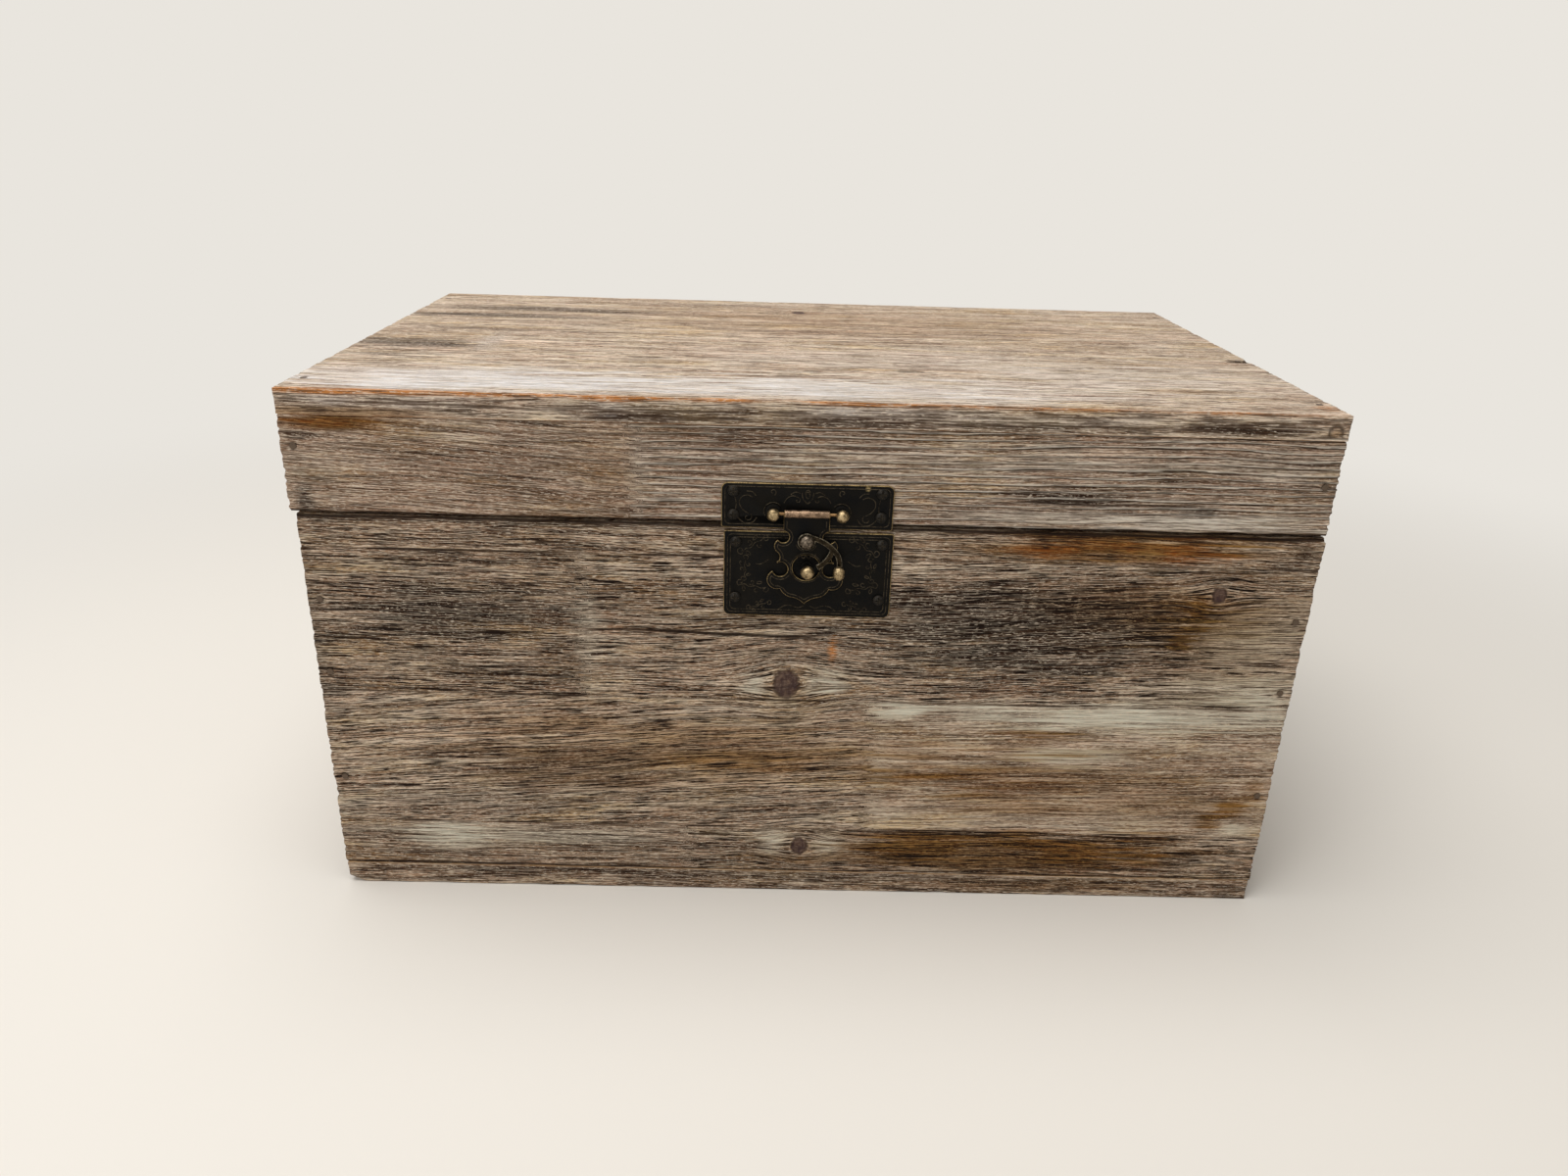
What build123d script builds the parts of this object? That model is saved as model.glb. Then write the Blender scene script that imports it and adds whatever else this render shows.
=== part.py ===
from build123d import *

import os

# A small top-opening storage chest of nailed softwood boards, with a cloud-shaped hasp on its front.
# Millimetres. The origin is on the floor, under the middle of the lid. +X is to the right, seen
# from the front, +Y is to the back and +Z is up.

# Boards
BOARD = 11.5  # thickness of every board
WORN_EDGE = 0.6  # radius of the brushed arrises

# Lid
LID_WIDTH = 460.0
LID_DEPTH = 278.0
LID_RAIL_HEIGHT = 43.7
LID_GAP = 1.0  # air between the body's rim and the lid's rim

# Body, a little smaller than the lid and not quite in line with it
BODY_WIDTH = 458.2
BODY_DEPTH = 277.4
BODY_HEIGHT = 196.5
BODY_SHIFT = 1.3  # to the right of the lid's middle
BOTTOM_INSET = 0.8  # of the bottom board's ends from the body's ends
WORN_CORNER = (9.0, 40.0, 4.0)  # along X, Y and Z, at the front left foot of the bottom board

# Brads: plain steel nails with small heads
BRAD_RADIUS = 0.7
BRAD_LENGTH = 22.0
BRAD_HEAD_RADIUS = 1.5
BRAD_HEAD = 0.8
BRAD_SUNK = 0.2  # depth of the head under the surface
PANEL_BRAD_HEIGHTS = (61.8, 118.7, 155.4)
RAIL_BRAD_HEIGHTS = {-1: 227.4, 1: 220.4}  # left and right end of a lid rail
TOP_BRAD_DEPTHS = (-118.0, -21.0, 118.0)
BOTTOM_BRAD_DEPTHS = (-100.0, 0.0, 100.0)
BOTTOM_BRAD_WIDTHS = (-140.0, 0.0, 140.0)

# Hasp plates
PLATE = 1.0  # thickness
PLATE_CORNER = 3.0  # radius of the outer corners
PLATE_INNER_CORNER = 1.0  # radius of the corners along the lid line
UPPER_PLATE_SIZE = (75.8, 20.7)
UPPER_PLATE_CENTRE = (-2.1, 206.05)  # X and Z
LOWER_PLATE_SIZE = (75.7, 40.8)
LOWER_PLATE_CENTRE = (-0.9, 173.7)
PLATE_SCREW_SPREAD = 32.6  # from the plate's middle, along X
UPPER_SCREW_HEIGHTS = (201.75, 212.65)
LOWER_SCREW_HEIGHTS = (162.2, 188.85)

# Rod, and the two ball-headed posts that hold it
ROD_HEIGHT = 203.55
ROD_OUT = 2.95  # from the upper plate's face to the rod's axis
ROD_RADIUS = 0.7
POST_SPREAD = 15.15  # from the middle, along X
POST_MIDDLE = -1.95
POST_COLLAR_RADIUS = 3.3
POST_COLLAR = 0.5
POST_NECK_RADIUS = 1.5
POST_BALL_RADIUS = 2.85
POST_BALL_OUT = 5.0  # from the upper plate's face to the ball's centre

# Hasp flap
FLAP_MIDDLE = -2.2
FLAP = 1.0  # thickness
KNUCKLE_RADIUS = 1.75
KNUCKLE_HALF_LENGTH = 10.0
NECK_HALF_WIDTH = 10.2
RUNNING = 0.05  # radial clearance of a part that turns
EYE_CENTRE = (-1.85, 178.05)  # X and Z of the hole for the stud
EYE_RADIUS = 6.1
# The cloud's right half, down from the neck, X from its middle: the cusps where two arcs meet, and
# a point halfway along each arc
CLOUD_CUSPS = (
    (NECK_HALF_WIDTH, 195.2),
    (12.5, 191.0),
    (12.6, 185.2),
    (12.9, 180.1),
    (14.5, 176.2),
    (11.0, 167.7),
    (6.4, 163.7),
    (0.0, 160.4),
)
CLOUD_ARCS = (
    (7.6, 191.6),
    (14.1, 188.3),
    (11.5, 182.5),
    (7.9, 176.2),
    (16.7, 170.4),
    (9.2, 165.2),
    (2.9, 162.7),
)

# Stud, rivet, hook and knob
STUD_CENTRE = (-1.35, 177.66)
STUD_BALL_RADIUS = 3.05
STUD_BALL_OUT = 7.6  # from the lower plate's face to the ball's centre
STUD_NECK_RADIUS = 1.5
COLLAR_RADIUS = 2.6
COLLAR = 0.7
TAIL_RADIUS = 1.2
CLINCH_RADIUS = 2.2  # of the hammered end behind a plate
CLINCH = 0.6
PIVOT_CENTRE = (-2.05, 190.8)
PIVOT_RADIUS = 1.3
RIVET_HEAD_RADIUS = 3.4
RIVET_HEAD = 3.1
HOOK = 1.2  # thickness
HOOK_LIFT = 0.2  # air between the flap and the hook
HOOK_RING_RADIUS = 3.9
HOOK_WIDTH = 2.3
KNOB_CENTRE = (12.6, 177.6)
KNOB_RADIUS = 2.6
KNOB_HALF_HEIGHT = 3.2
KNOB_OUT = 3.4  # from the hook's face to the knob's centre
KNOB_SEAT_RADIUS = 1.9  # of the hook's end under the knob
KNOB_TAIL_RADIUS = 0.7
# Middle lines of the hook: the arm's two arcs meet at its elbow, and the finger leaves it before
ARM_ROOT = (0.0, 192.8)
ARM_ARC = (7.2, 189.7)
ELBOW = (11.7, 185.2)
ELBOW_ARC = (12.9, 181.5)
FINGER_ROOT = (9.6, 187.2)
FINGER_ARC = (7.6, 182.8)
FINGER_TIP = (3.0, 178.8)

# Screws
SCREW_RADIUS = 1.1
SCREW_POINT = 2.0  # length of the tapered end
SCREW_TIP_RADIUS = 0.2
PAN_HEAD_RADIUS = 2.5
PAN_HEAD = 1.5
PAN_RIM = 0.45  # height of the head's straight edge
PAN_SCREW_LENGTH = 9.0
FLAT_HEAD_RADIUS = 2.2
FLAT_SCREW_LENGTH = 9.5
SLOT_LENGTH = 3.2
SLOT_WIDTH = 0.6
SLOT_DEPTH = 0.8

# Butt hinges on the outside of the back
HINGE_SPREAD = 140.0  # from the middle, along X
HINGE_LENGTH = 38.0
HINGE_LEAF = 1.2  # thickness
HINGE_LEAF_HEIGHT = 13.5
HINGE_KNUCKLES = 5
HINGE_KNUCKLE_RADIUS = 2.2
HINGE_ROOT = 2.7  # from the pin's axis to the leaf's full width
HINGE_PROUD = 0.3  # air between the knuckles and the lid
HINGE_END_PLAY = 0.1
PIN_RADIUS = 1.0
PIN_HEAD_RADIUS = 1.6
PIN_HEAD = 0.8
HINGE_SCREW_SPREAD = 12.0
HINGE_SCREW_RISE = 10.1  # from the pin's axis
LEAF_CORNER = 2.0

# Levels and faces that follow
RIM = BODY_HEIGHT + LID_GAP
LID_TOP_UNDERSIDE = RIM + LID_RAIL_HEIGHT
LID_FRONT = LID_DEPTH / 2
BODY_FRONT = BODY_DEPTH / 2
UPPER_FACE = LID_FRONT + PLATE
LOWER_FACE = BODY_FRONT + PLATE
ROD_FRONT = UPPER_FACE + ROD_OUT
FLAP_BACK = ROD_FRONT - KNUCKLE_RADIUS
FLAP_FACE = FLAP_BACK + FLAP
HOOK_BACK = FLAP_FACE + HOOK_LIFT
HOOK_FACE = HOOK_BACK + HOOK
HINGE_Y = LID_DEPTH / 2 + HINGE_PROUD + HINGE_KNUCKLE_RADIUS
HINGE_Z = BODY_HEIGHT + LID_GAP / 2
SIDES = {"left": -1, "right": 1}


def outward(x, z, depth):
    """Frame on the front, with its Z axis out of the chest, its X axis right and its Y axis up."""
    return Plane(origin=(x, -depth, z), x_dir=(1, 0, 0), z_dir=(0, -1, 0))


def backward(x, z, depth):
    """Frame on the back, with its Z axis out of the chest and its Y axis up."""
    return Plane(origin=(x, depth, z), x_dir=(-1, 0, 0), z_dir=(0, 1, 0))


def board(low, high):
    """A board between two corners, with brushed arrises."""
    size = [b - a for a, b in zip(low, high)]
    middle = [(a + b) / 2 for a, b in zip(low, high)]
    return fillet((Pos(*middle) * Box(*size)).edges(), WORN_EDGE)


def shaft(radius, low, high):
    """A plain cylinder on the local Z axis, between two heights."""
    return Pos(0, 0, (low + high) / 2) * Cylinder(radius, high - low)


def brad():
    """A nail along local -Z, its head just under the surface at Z = 0."""
    head = shaft(BRAD_HEAD_RADIUS, -BRAD_SUNK - BRAD_HEAD, -BRAD_SUNK)
    return head + shaft(BRAD_RADIUS, -BRAD_LENGTH, -BRAD_SUNK - BRAD_HEAD)


def brads_at(places):
    """One group of brads, a separate solid for each place."""
    return [place * brad() for place in places]


def cross_slot(top):
    """The cross-shaped recess of a screw head whose crown is at a height."""
    bar = Box(SLOT_LENGTH, SLOT_WIDTH, 2 * SLOT_DEPTH)
    return Pos(0, 0, top) * (bar + Rot(0, 0, 90) * bar)


def screw_shank(length):
    """A pointed shank from Z = 0 down."""
    straight = length - SCREW_POINT
    point = Pos(0, 0, -straight - SCREW_POINT / 2) * Cone(SCREW_TIP_RADIUS, SCREW_RADIUS, SCREW_POINT)
    return shaft(SCREW_RADIUS, -straight, 0) + point


def dome(radius, height):
    """A cap cut from a ball, its flat side at Z = 0."""
    ball = (radius**2 + height**2) / (2 * height)
    return (Pos(0, 0, height - ball) * Sphere(ball)) & shaft(radius, 0, height)


def pan_screw():
    """A cross-head screw with a low dome that rests on a plate at Z = 0."""
    crown = Pos(0, 0, PAN_RIM) * dome(PAN_HEAD_RADIUS, PAN_HEAD - PAN_RIM)
    head = shaft(PAN_HEAD_RADIUS, 0, PAN_RIM) + crown
    return head + screw_shank(PAN_SCREW_LENGTH) - cross_slot(PAN_HEAD)


def flat_screw():
    """A countersunk cross-head screw, flush with a leaf's face at Z = 0."""
    drop = FLAT_HEAD_RADIUS - SCREW_RADIUS
    head = Pos(0, 0, -drop / 2) * Cone(SCREW_RADIUS, FLAT_HEAD_RADIUS, drop)
    return head + screw_shank(FLAT_SCREW_LENGTH) - cross_slot(0)


def group(solids):
    """Separate solids as one named piece."""
    return Compound(children=[s for part in solids for s in part.solids()])


def drill(piece, *fastener_groups):
    """The piece with the seats and holes of its fasteners."""
    for solids in fastener_groups:
        for solid in solids:
            piece -= solid
    return piece


# Body


def body_x(side):
    """The body's left or right outer face."""
    return BODY_SHIFT + side * BODY_WIDTH / 2


def bottom_board():
    """The bottom, with its front left foot worn away."""
    low = (body_x(-1) + BOTTOM_INSET, -BODY_DEPTH / 2, 0)
    high = (body_x(1) - BOTTOM_INSET, BODY_DEPTH / 2, BOARD)
    whole = board(low, high)
    along_x, along_y, along_z = WORN_CORNER
    foot = Vector(*low)
    a = foot + Vector(along_x, 0, 0)
    b = foot + Vector(0, along_y, 0)
    c = foot + Vector(0, 0, along_z)
    cut = Plane(origin=a, x_dir=b - a, z_dir=(b - a).cross(c - a))
    return split(whole, bisect_by=cut, keep=Keep.TOP)


def long_panel(face):
    """The front (-1) or back (1) panel, across the ends of the end panels."""
    y = sorted((face * BODY_DEPTH / 2, face * (BODY_DEPTH / 2 - BOARD)))
    return board((body_x(-1), y[0], BOARD), (body_x(1), y[1], BODY_HEIGHT))


def end_panel(side):
    """The left or right end, between the front and back panels."""
    x = sorted((body_x(side), body_x(side) - side * BOARD))
    half = BODY_DEPTH / 2 - BOARD
    return board((x[0], -half, BOARD), (x[1], half, BODY_HEIGHT))


def panel_brads(frame_at):
    """Brads through a long panel into the ends of the end panels."""
    inset = BOARD / 2
    return brads_at(
        frame_at(body_x(side) - side * inset, height, BODY_DEPTH / 2)
        for side in SIDES.values()
        for height in PANEL_BRAD_HEIGHTS
    )


def bottom_brads():
    """Brads up through the bottom board into the four walls."""
    ends = [
        Pos(body_x(side) - side * BOARD / 2, y, 0) for side in SIDES.values() for y in BOTTOM_BRAD_DEPTHS
    ]
    longs = [
        Pos(x, face * (BODY_DEPTH - BOARD) / 2, 0) for face in (-1, 1) for x in BOTTOM_BRAD_WIDTHS
    ]
    return brads_at(place * Rot(180, 0, 0) for place in ends + longs)


# Lid


def lid_rail(face):
    """The front (-1) or back (1) rail of the lid's frame, the lid's full width."""
    y = sorted((face * LID_DEPTH / 2, face * (LID_DEPTH / 2 - BOARD)))
    return board((-LID_WIDTH / 2, y[0], RIM), (LID_WIDTH / 2, y[1], LID_TOP_UNDERSIDE))


def lid_side_rail(side):
    """The left or right rail, between the front and back rails."""
    x = sorted((side * LID_WIDTH / 2, side * (LID_WIDTH / 2 - BOARD)))
    half = LID_DEPTH / 2 - BOARD
    return board((x[0], -half, RIM), (x[1], half, LID_TOP_UNDERSIDE))


def lid_top_board():
    """The board over the lid's frame, flush with it all round."""
    low = (-LID_WIDTH / 2, -LID_DEPTH / 2, LID_TOP_UNDERSIDE)
    return board(low, (LID_WIDTH / 2, LID_DEPTH / 2, LID_TOP_UNDERSIDE + BOARD))


def rail_brads():
    """Brads through the front and back rails into the ends of the side rails."""
    inset = (LID_WIDTH - BOARD) / 2
    return brads_at(
        frame_at(side * inset, height, LID_DEPTH / 2)
        for frame_at in (outward, backward)
        for side, height in RAIL_BRAD_HEIGHTS.items()
    )


def top_brads():
    """Brads down through the top board into the side rails."""
    inset = (LID_WIDTH - BOARD) / 2
    top = LID_TOP_UNDERSIDE + BOARD
    return brads_at(Pos(side * inset, y, top) for side in SIDES.values() for y in TOP_BRAD_DEPTHS)


# Hasp


def hasp_plate(size, centre, face, rounded_end):
    """A stamped plate against the wood, with larger corners at its top (1) or bottom (-1) end."""
    outer, inner = (-1, 0) if rounded_end > 0 else (0, -1)
    outline = fillet(Rectangle(*size).vertices().group_by(Axis.Y)[outer], PLATE_CORNER)
    outline = fillet(outline.vertices().group_by(Axis.Y)[inner], PLATE_INNER_CORNER)
    return extrude(outward(centre[0], centre[1], face - PLATE) * outline, PLATE)


def plate_screws(centre_x, heights, face):
    """Four pan-head screws, one near each corner of a plate."""
    return [
        outward(centre_x + side * PLATE_SCREW_SPREAD, height, face) * pan_screw()
        for side in SIDES.values()
        for height in heights
    ]


def riveted_tail():
    """The tail of a post or stud, through its plate and hammered flat behind it."""
    return shaft(TAIL_RADIUS, -PLATE, 0) + shaft(CLINCH_RADIUS, -PLATE - CLINCH, -PLATE)


def rod():
    """The rod that the flap swings on, held in both posts."""
    half = POST_SPREAD + POST_NECK_RADIUS
    bar = Rot(0, 90, 0) * Cylinder(ROD_RADIUS, 2 * half)
    return Pos(POST_MIDDLE, -ROD_FRONT, ROD_HEIGHT) * bar


def rod_post(side):
    """A ball-headed post with a cross hole for the rod."""
    turned = riveted_tail() + shaft(POST_COLLAR_RADIUS, 0, POST_COLLAR)
    turned += shaft(POST_NECK_RADIUS, POST_COLLAR, POST_BALL_OUT)
    turned += Pos(0, 0, POST_BALL_OUT) * Sphere(POST_BALL_RADIUS)
    return outward(POST_MIDDLE + side * POST_SPREAD, ROD_HEIGHT, UPPER_FACE) * turned - rod()


def latch_stud():
    """The ball-headed stud of the lower plate, which the hook's finger goes behind."""
    turned = riveted_tail() + shaft(COLLAR_RADIUS, 0, COLLAR)
    turned += shaft(STUD_NECK_RADIUS, COLLAR, STUD_BALL_OUT)
    turned += Pos(0, 0, STUD_BALL_OUT) * Sphere(STUD_BALL_RADIUS)
    return outward(*STUD_CENTRE, LOWER_FACE) * turned


def flap_outline():
    """Right half of the cloud shape, from the neck to the bottom point; X is from its middle."""
    half = Polyline(CLOUD_CUSPS[-1], (0, ROD_HEIGHT), (NECK_HALF_WIDTH, ROD_HEIGHT), CLOUD_CUSPS[0])
    for start, middle, end in zip(CLOUD_CUSPS, CLOUD_ARCS, CLOUD_CUSPS[1:]):
        half += ThreePointArc(start, middle, end)
    return half


def hasp_flap():
    """The cloud-shaped plate, its top rolled into a knuckle round the rod."""
    half = make_face(flap_outline())
    whole = half + mirror(half, Plane.YZ)
    plate = extrude(outward(FLAP_MIDDLE, 0, FLAP_BACK) * whole, FLAP)
    knuckle = Rot(0, 90, 0) * Cylinder(KNUCKLE_RADIUS, 2 * KNUCKLE_HALF_LENGTH)
    bore = Rot(0, 90, 0) * Cylinder(ROD_RADIUS + RUNNING, 4 * KNUCKLE_HALF_LENGTH)
    at_rod = Pos(FLAP_MIDDLE, -ROD_FRONT, ROD_HEIGHT)
    eye = outward(*EYE_CENTRE, FLAP_BACK) * shaft(EYE_RADIUS, -FLAP, 2 * FLAP)
    rivet_hole = outward(*PIVOT_CENTRE, FLAP_BACK) * shaft(PIVOT_RADIUS, -FLAP, 2 * FLAP)
    return plate + at_rod * knuckle - at_rod * bore - eye - rivet_hole


def hook_rivet():
    """The domed rivet that holds the hook to the flap, clinched behind it."""
    dome_base = HOOK_LIFT + HOOK + HOOK_LIFT / 2
    turned = shaft(PIVOT_RADIUS, -FLAP, dome_base)
    turned += shaft(CLINCH_RADIUS, -FLAP - CLINCH, -FLAP)
    turned += Pos(0, 0, dome_base) * dome(RIVET_HEAD_RADIUS, RIVET_HEAD)
    return outward(*PIVOT_CENTRE, FLAP_FACE) * turned


def swing_hook():
    """A ring on the rivet, an arm out to the knob, and a finger back towards the stud."""
    arm = ThreePointArc(ARM_ROOT, ARM_ARC, ELBOW) + ThreePointArc(ELBOW, ELBOW_ARC, KNOB_CENTRE)
    finger = ThreePointArc(FINGER_ROOT, FINGER_ARC, FINGER_TIP)
    flat = Pos(*PIVOT_CENTRE) * Circle(HOOK_RING_RADIUS)
    flat += trace(arm, HOOK_WIDTH) + trace(finger, HOOK_WIDTH)
    flat += Pos(*KNOB_CENTRE) * Circle(KNOB_SEAT_RADIUS)
    flat -= Pos(*PIVOT_CENTRE) * Circle(PIVOT_RADIUS + RUNNING)
    flat -= Pos(*KNOB_CENTRE) * Circle(KNOB_TAIL_RADIUS)
    return extrude(outward(0, 0, HOOK_BACK) * flat, HOOK)


def hook_knob():
    """The oblong finger knob, riveted to the arm of the hook."""
    reach = KNOB_HALF_HEIGHT - KNOB_RADIUS
    body = shaft(KNOB_RADIUS, -reach, reach)
    for end in (-reach, reach):
        body += Pos(0, 0, end) * Sphere(KNOB_RADIUS)
    x, z = KNOB_CENTRE
    knob = Pos(x, -HOOK_FACE - KNOB_OUT, z) * body
    neck = shaft(TAIL_RADIUS, 0, KNOB_OUT) + shaft(KNOB_TAIL_RADIUS, -HOOK, 0)
    return knob + outward(x, z, HOOK_FACE) * neck


# Hinges


def hinge_leaf(x, side):
    """One leaf of a hinge, below (-1) or above (1) its pin, with every second knuckle."""
    wood = (LID_DEPTH if side > 0 else BODY_DEPTH) / 2
    middle_z = HINGE_Z + side * (HINGE_ROOT + HINGE_LEAF_HEIGHT / 2)
    outline = Rectangle(HINGE_LENGTH, HINGE_LEAF_HEIGHT)
    outline = fillet(outline.vertices().group_by(Axis.Y)[-1 if side > 0 else 0], LEAF_CORNER)
    leaf = extrude(backward(x, middle_z, wood) * outline, HINGE_LEAF)
    pitch = HINGE_LENGTH / HINGE_KNUCKLES
    bore = PIN_RADIUS + (RUNNING if side > 0 else 0)
    for index in range(0 if side < 0 else 1, HINGE_KNUCKLES, 2):
        at = x + (index - (HINGE_KNUCKLES - 1) / 2) * pitch
        length = pitch - 2 * HINGE_END_PLAY
        tab = Box(length, HINGE_LEAF, HINGE_ROOT)
        tab = Pos(at, wood + HINGE_LEAF / 2, HINGE_Z + side * HINGE_ROOT / 2) * tab
        barrel = Pos(at, HINGE_Y, HINGE_Z) * Rot(0, 90, 0) * Cylinder(HINGE_KNUCKLE_RADIUS, length)
        leaf += tab + barrel
    return leaf - Pos(x, HINGE_Y, HINGE_Z) * Rot(0, 90, 0) * Cylinder(bore, 2 * HINGE_LENGTH)


def hinge_pin(x):
    """The pin of a hinge, with a button head at each end."""
    half = HINGE_LENGTH / 2
    pin = shaft(PIN_RADIUS, -half, half)
    for end in (-1, 1):
        pin += Pos(0, 0, end * (half + PIN_HEAD / 2)) * Cylinder(PIN_HEAD_RADIUS, PIN_HEAD)
    return Pos(x, HINGE_Y, HINGE_Z) * Rot(0, 90, 0) * pin


def leaf_screws(side):
    """The countersunk screws of both hinges' leaves, below (-1) or above (1) the pins."""
    wood = (LID_DEPTH if side > 0 else BODY_DEPTH) / 2
    height = HINGE_Z + side * HINGE_SCREW_RISE
    return [
        backward(hinge * HINGE_SPREAD + end * HINGE_SCREW_SPREAD, height, wood + HINGE_LEAF) * flat_screw()
        for hinge in SIDES.values()
        for end in (-1, 1)
    ]


def body_parts():
    """The pieces that stand still."""
    front_brads, back_brads, under_brads = panel_brads(outward), panel_brads(backward), bottom_brads()
    screws = plate_screws(LOWER_PLATE_CENTRE[0], LOWER_SCREW_HEIGHTS, LOWER_FACE)
    hinge_screws = leaf_screws(-1)
    stud = latch_stud()
    plate = hasp_plate(LOWER_PLATE_SIZE, LOWER_PLATE_CENTRE, LOWER_FACE, -1)
    parts = {
        "bottom_board": drill(bottom_board(), under_brads),
        "front_panel": drill(long_panel(-1), front_brads, under_brads, screws, [stud]),
        "back_panel": drill(long_panel(1), back_brads, under_brads, hinge_screws),
        "front_panel_brads": group(front_brads),
        "back_panel_brads": group(back_brads),
        "bottom_board_brads": group(under_brads),
        "hasp_lower_plate": drill(plate, screws, [stud]),
        "lower_plate_screws": group(screws),
        "latch_stud": stud,
        "hinge_body_screws": group(hinge_screws),
    }
    for name, side in SIDES.items():
        x = side * HINGE_SPREAD
        parts[name + "_end_panel"] = drill(end_panel(side), front_brads, back_brads, under_brads)
        parts["hinge_" + name + "_body_leaf"] = drill(hinge_leaf(x, -1), hinge_screws)
        parts["hinge_" + name + "_pin"] = hinge_pin(x)
    return parts


def lid_parts():
    """The pieces that turn with the lid."""
    frame_brads, down_brads = rail_brads(), top_brads()
    screws = plate_screws(UPPER_PLATE_CENTRE[0], UPPER_SCREW_HEIGHTS, UPPER_FACE)
    hinge_screws = leaf_screws(1)
    posts = {name: rod_post(side) for name, side in SIDES.items()}
    plate = hasp_plate(UPPER_PLATE_SIZE, UPPER_PLATE_CENTRE, UPPER_FACE, 1)
    parts = {
        "lid_top_board": drill(lid_top_board(), down_brads),
        "lid_front_rail": drill(lid_rail(-1), frame_brads, screws, posts.values()),
        "lid_back_rail": drill(lid_rail(1), frame_brads, hinge_screws),
        "lid_rail_brads": group(frame_brads),
        "lid_top_brads": group(down_brads),
        "hasp_upper_plate": drill(plate, screws, posts.values()),
        "upper_plate_screws": group(screws),
        "hasp_rod": rod(),
        "hinge_lid_screws": group(hinge_screws),
    }
    for name, side in SIDES.items():
        parts["lid_" + name + "_rail"] = drill(lid_side_rail(side), frame_brads, down_brads)
        parts[name + "_rod_post"] = posts[name]
        parts["hinge_" + name + "_lid_leaf"] = drill(hinge_leaf(side * HINGE_SPREAD, 1), hinge_screws)
    return parts


def latch_parts():
    """The flap that swings on the rod, and the hook that turns on the flap."""
    return {
        "hasp_flap": hasp_flap(),
        "hook_rivet": hook_rivet(),
        "swing_hook": swing_hook(),
        "hook_knob": hook_knob(),
    }


os.makedirs("parts", exist_ok=True)
for node, shape in {**body_parts(), **lid_parts(), **latch_parts()}.items():
    export_step(shape, os.path.join("parts", node + ".step"))
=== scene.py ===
import math

import bmesh
import bpy
import numpy as np
from mathutils import Matrix, Vector


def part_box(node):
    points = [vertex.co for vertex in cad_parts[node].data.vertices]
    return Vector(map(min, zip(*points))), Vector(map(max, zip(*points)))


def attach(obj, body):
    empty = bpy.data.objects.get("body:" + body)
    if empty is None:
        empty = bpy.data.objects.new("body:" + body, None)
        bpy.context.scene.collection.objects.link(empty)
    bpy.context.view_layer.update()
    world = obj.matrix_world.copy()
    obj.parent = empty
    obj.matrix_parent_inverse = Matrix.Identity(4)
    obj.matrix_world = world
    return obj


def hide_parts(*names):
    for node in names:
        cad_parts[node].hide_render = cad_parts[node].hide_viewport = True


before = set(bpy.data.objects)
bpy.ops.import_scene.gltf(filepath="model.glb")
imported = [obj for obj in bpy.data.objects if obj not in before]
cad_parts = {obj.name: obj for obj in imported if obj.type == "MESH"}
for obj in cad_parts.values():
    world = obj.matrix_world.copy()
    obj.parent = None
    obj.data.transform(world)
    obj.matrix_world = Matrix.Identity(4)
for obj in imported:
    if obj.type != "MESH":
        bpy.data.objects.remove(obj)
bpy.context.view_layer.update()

# Viewpoint: someone standing close in front of the chest, looking down on it a little, with a
# short lens held slightly out of level. Metres and degrees.
EYE = (-0.0185, -0.60965, 0.36258)
YAW, PITCH, ROLL = 0.8718, 22.586, 1.7208
LENS = 25.845  # millimetres, on a sensor 36 mm wide

camera = bpy.data.objects.new("camera", bpy.data.cameras.new("camera"))
camera.data.lens = LENS
camera.data.sensor_width = 36.0
camera.data.clip_start = 0.01
camera.matrix_world = (
    Matrix.Translation(EYE)
    @ Matrix.Rotation(math.radians(-YAW), 4, "Z")
    @ Matrix.Rotation(math.radians(90 - PITCH), 4, "X")
    @ Matrix.Rotation(math.radians(ROLL), 4, "Z")
)
bpy.context.scene.collection.objects.link(camera)
bpy.context.scene.camera = camera
bpy.context.scene.view_settings.view_transform = "Standard"


# Floor: a sheet of pale matt board, far larger than the view, that the chest stands on. Away from
# the chest it turns into the same pale tone as the room behind it.
FLOOR_HALF = 6.0
FLOOR_PALE = "#e6e1d9"
BACKDROP_PALE = "#e9e5de"
BACKDROP_FROM, BACKDROP_TO = 0.38, 1.05  # metres from the chest
GRIT_SCALE, GRIT_HEIGHT = 900.0, 0.0003  # grains to the metre, and metres


def srgb(code):
    """Linear RGBA of an sRGB hex value."""
    parts = [int(code[i : i + 2], 16) / 255 for i in (1, 3, 5)]
    return [c / 12.92 if c <= 0.04045 else ((c + 0.055) / 1.055) ** 2.4 for c in parts] + [1.0]


def fill(made, inputs):
    """Fills or links the inputs of a node. A node among them stands for its first output."""
    for socket, value in inputs.items():
        if isinstance(value, bpy.types.Node):
            value = value.outputs[0]
        if isinstance(value, bpy.types.NodeSocket):
            made.id_data.links.new(value, made.inputs[socket])
        else:
            made.inputs[socket].default_value = value
    return made


def node(tree, kind, inputs={}, **settings):
    """Adds a node with its settings, and fills or links its inputs."""
    made = tree.nodes.new(kind)
    for name, value in settings.items():
        setattr(made, name, value)
    return fill(made, inputs)


def new_material(name):
    """An empty material: its tree, and its shader, already joined to the output."""
    material = bpy.data.materials.new(name)
    material.use_nodes = True
    tree = material.node_tree
    tree.nodes.clear()
    shader = node(tree, "ShaderNodeBsdfPrincipled")
    node(tree, "ShaderNodeOutputMaterial", {"Surface": shader})
    return material, tree, shader


def new_object(name, mesh):
    """An object in the scene for a mesh whose place is in its vertices."""
    made = bpy.data.objects.new(name, mesh)
    bpy.context.scene.collection.objects.link(made)
    return made


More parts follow.
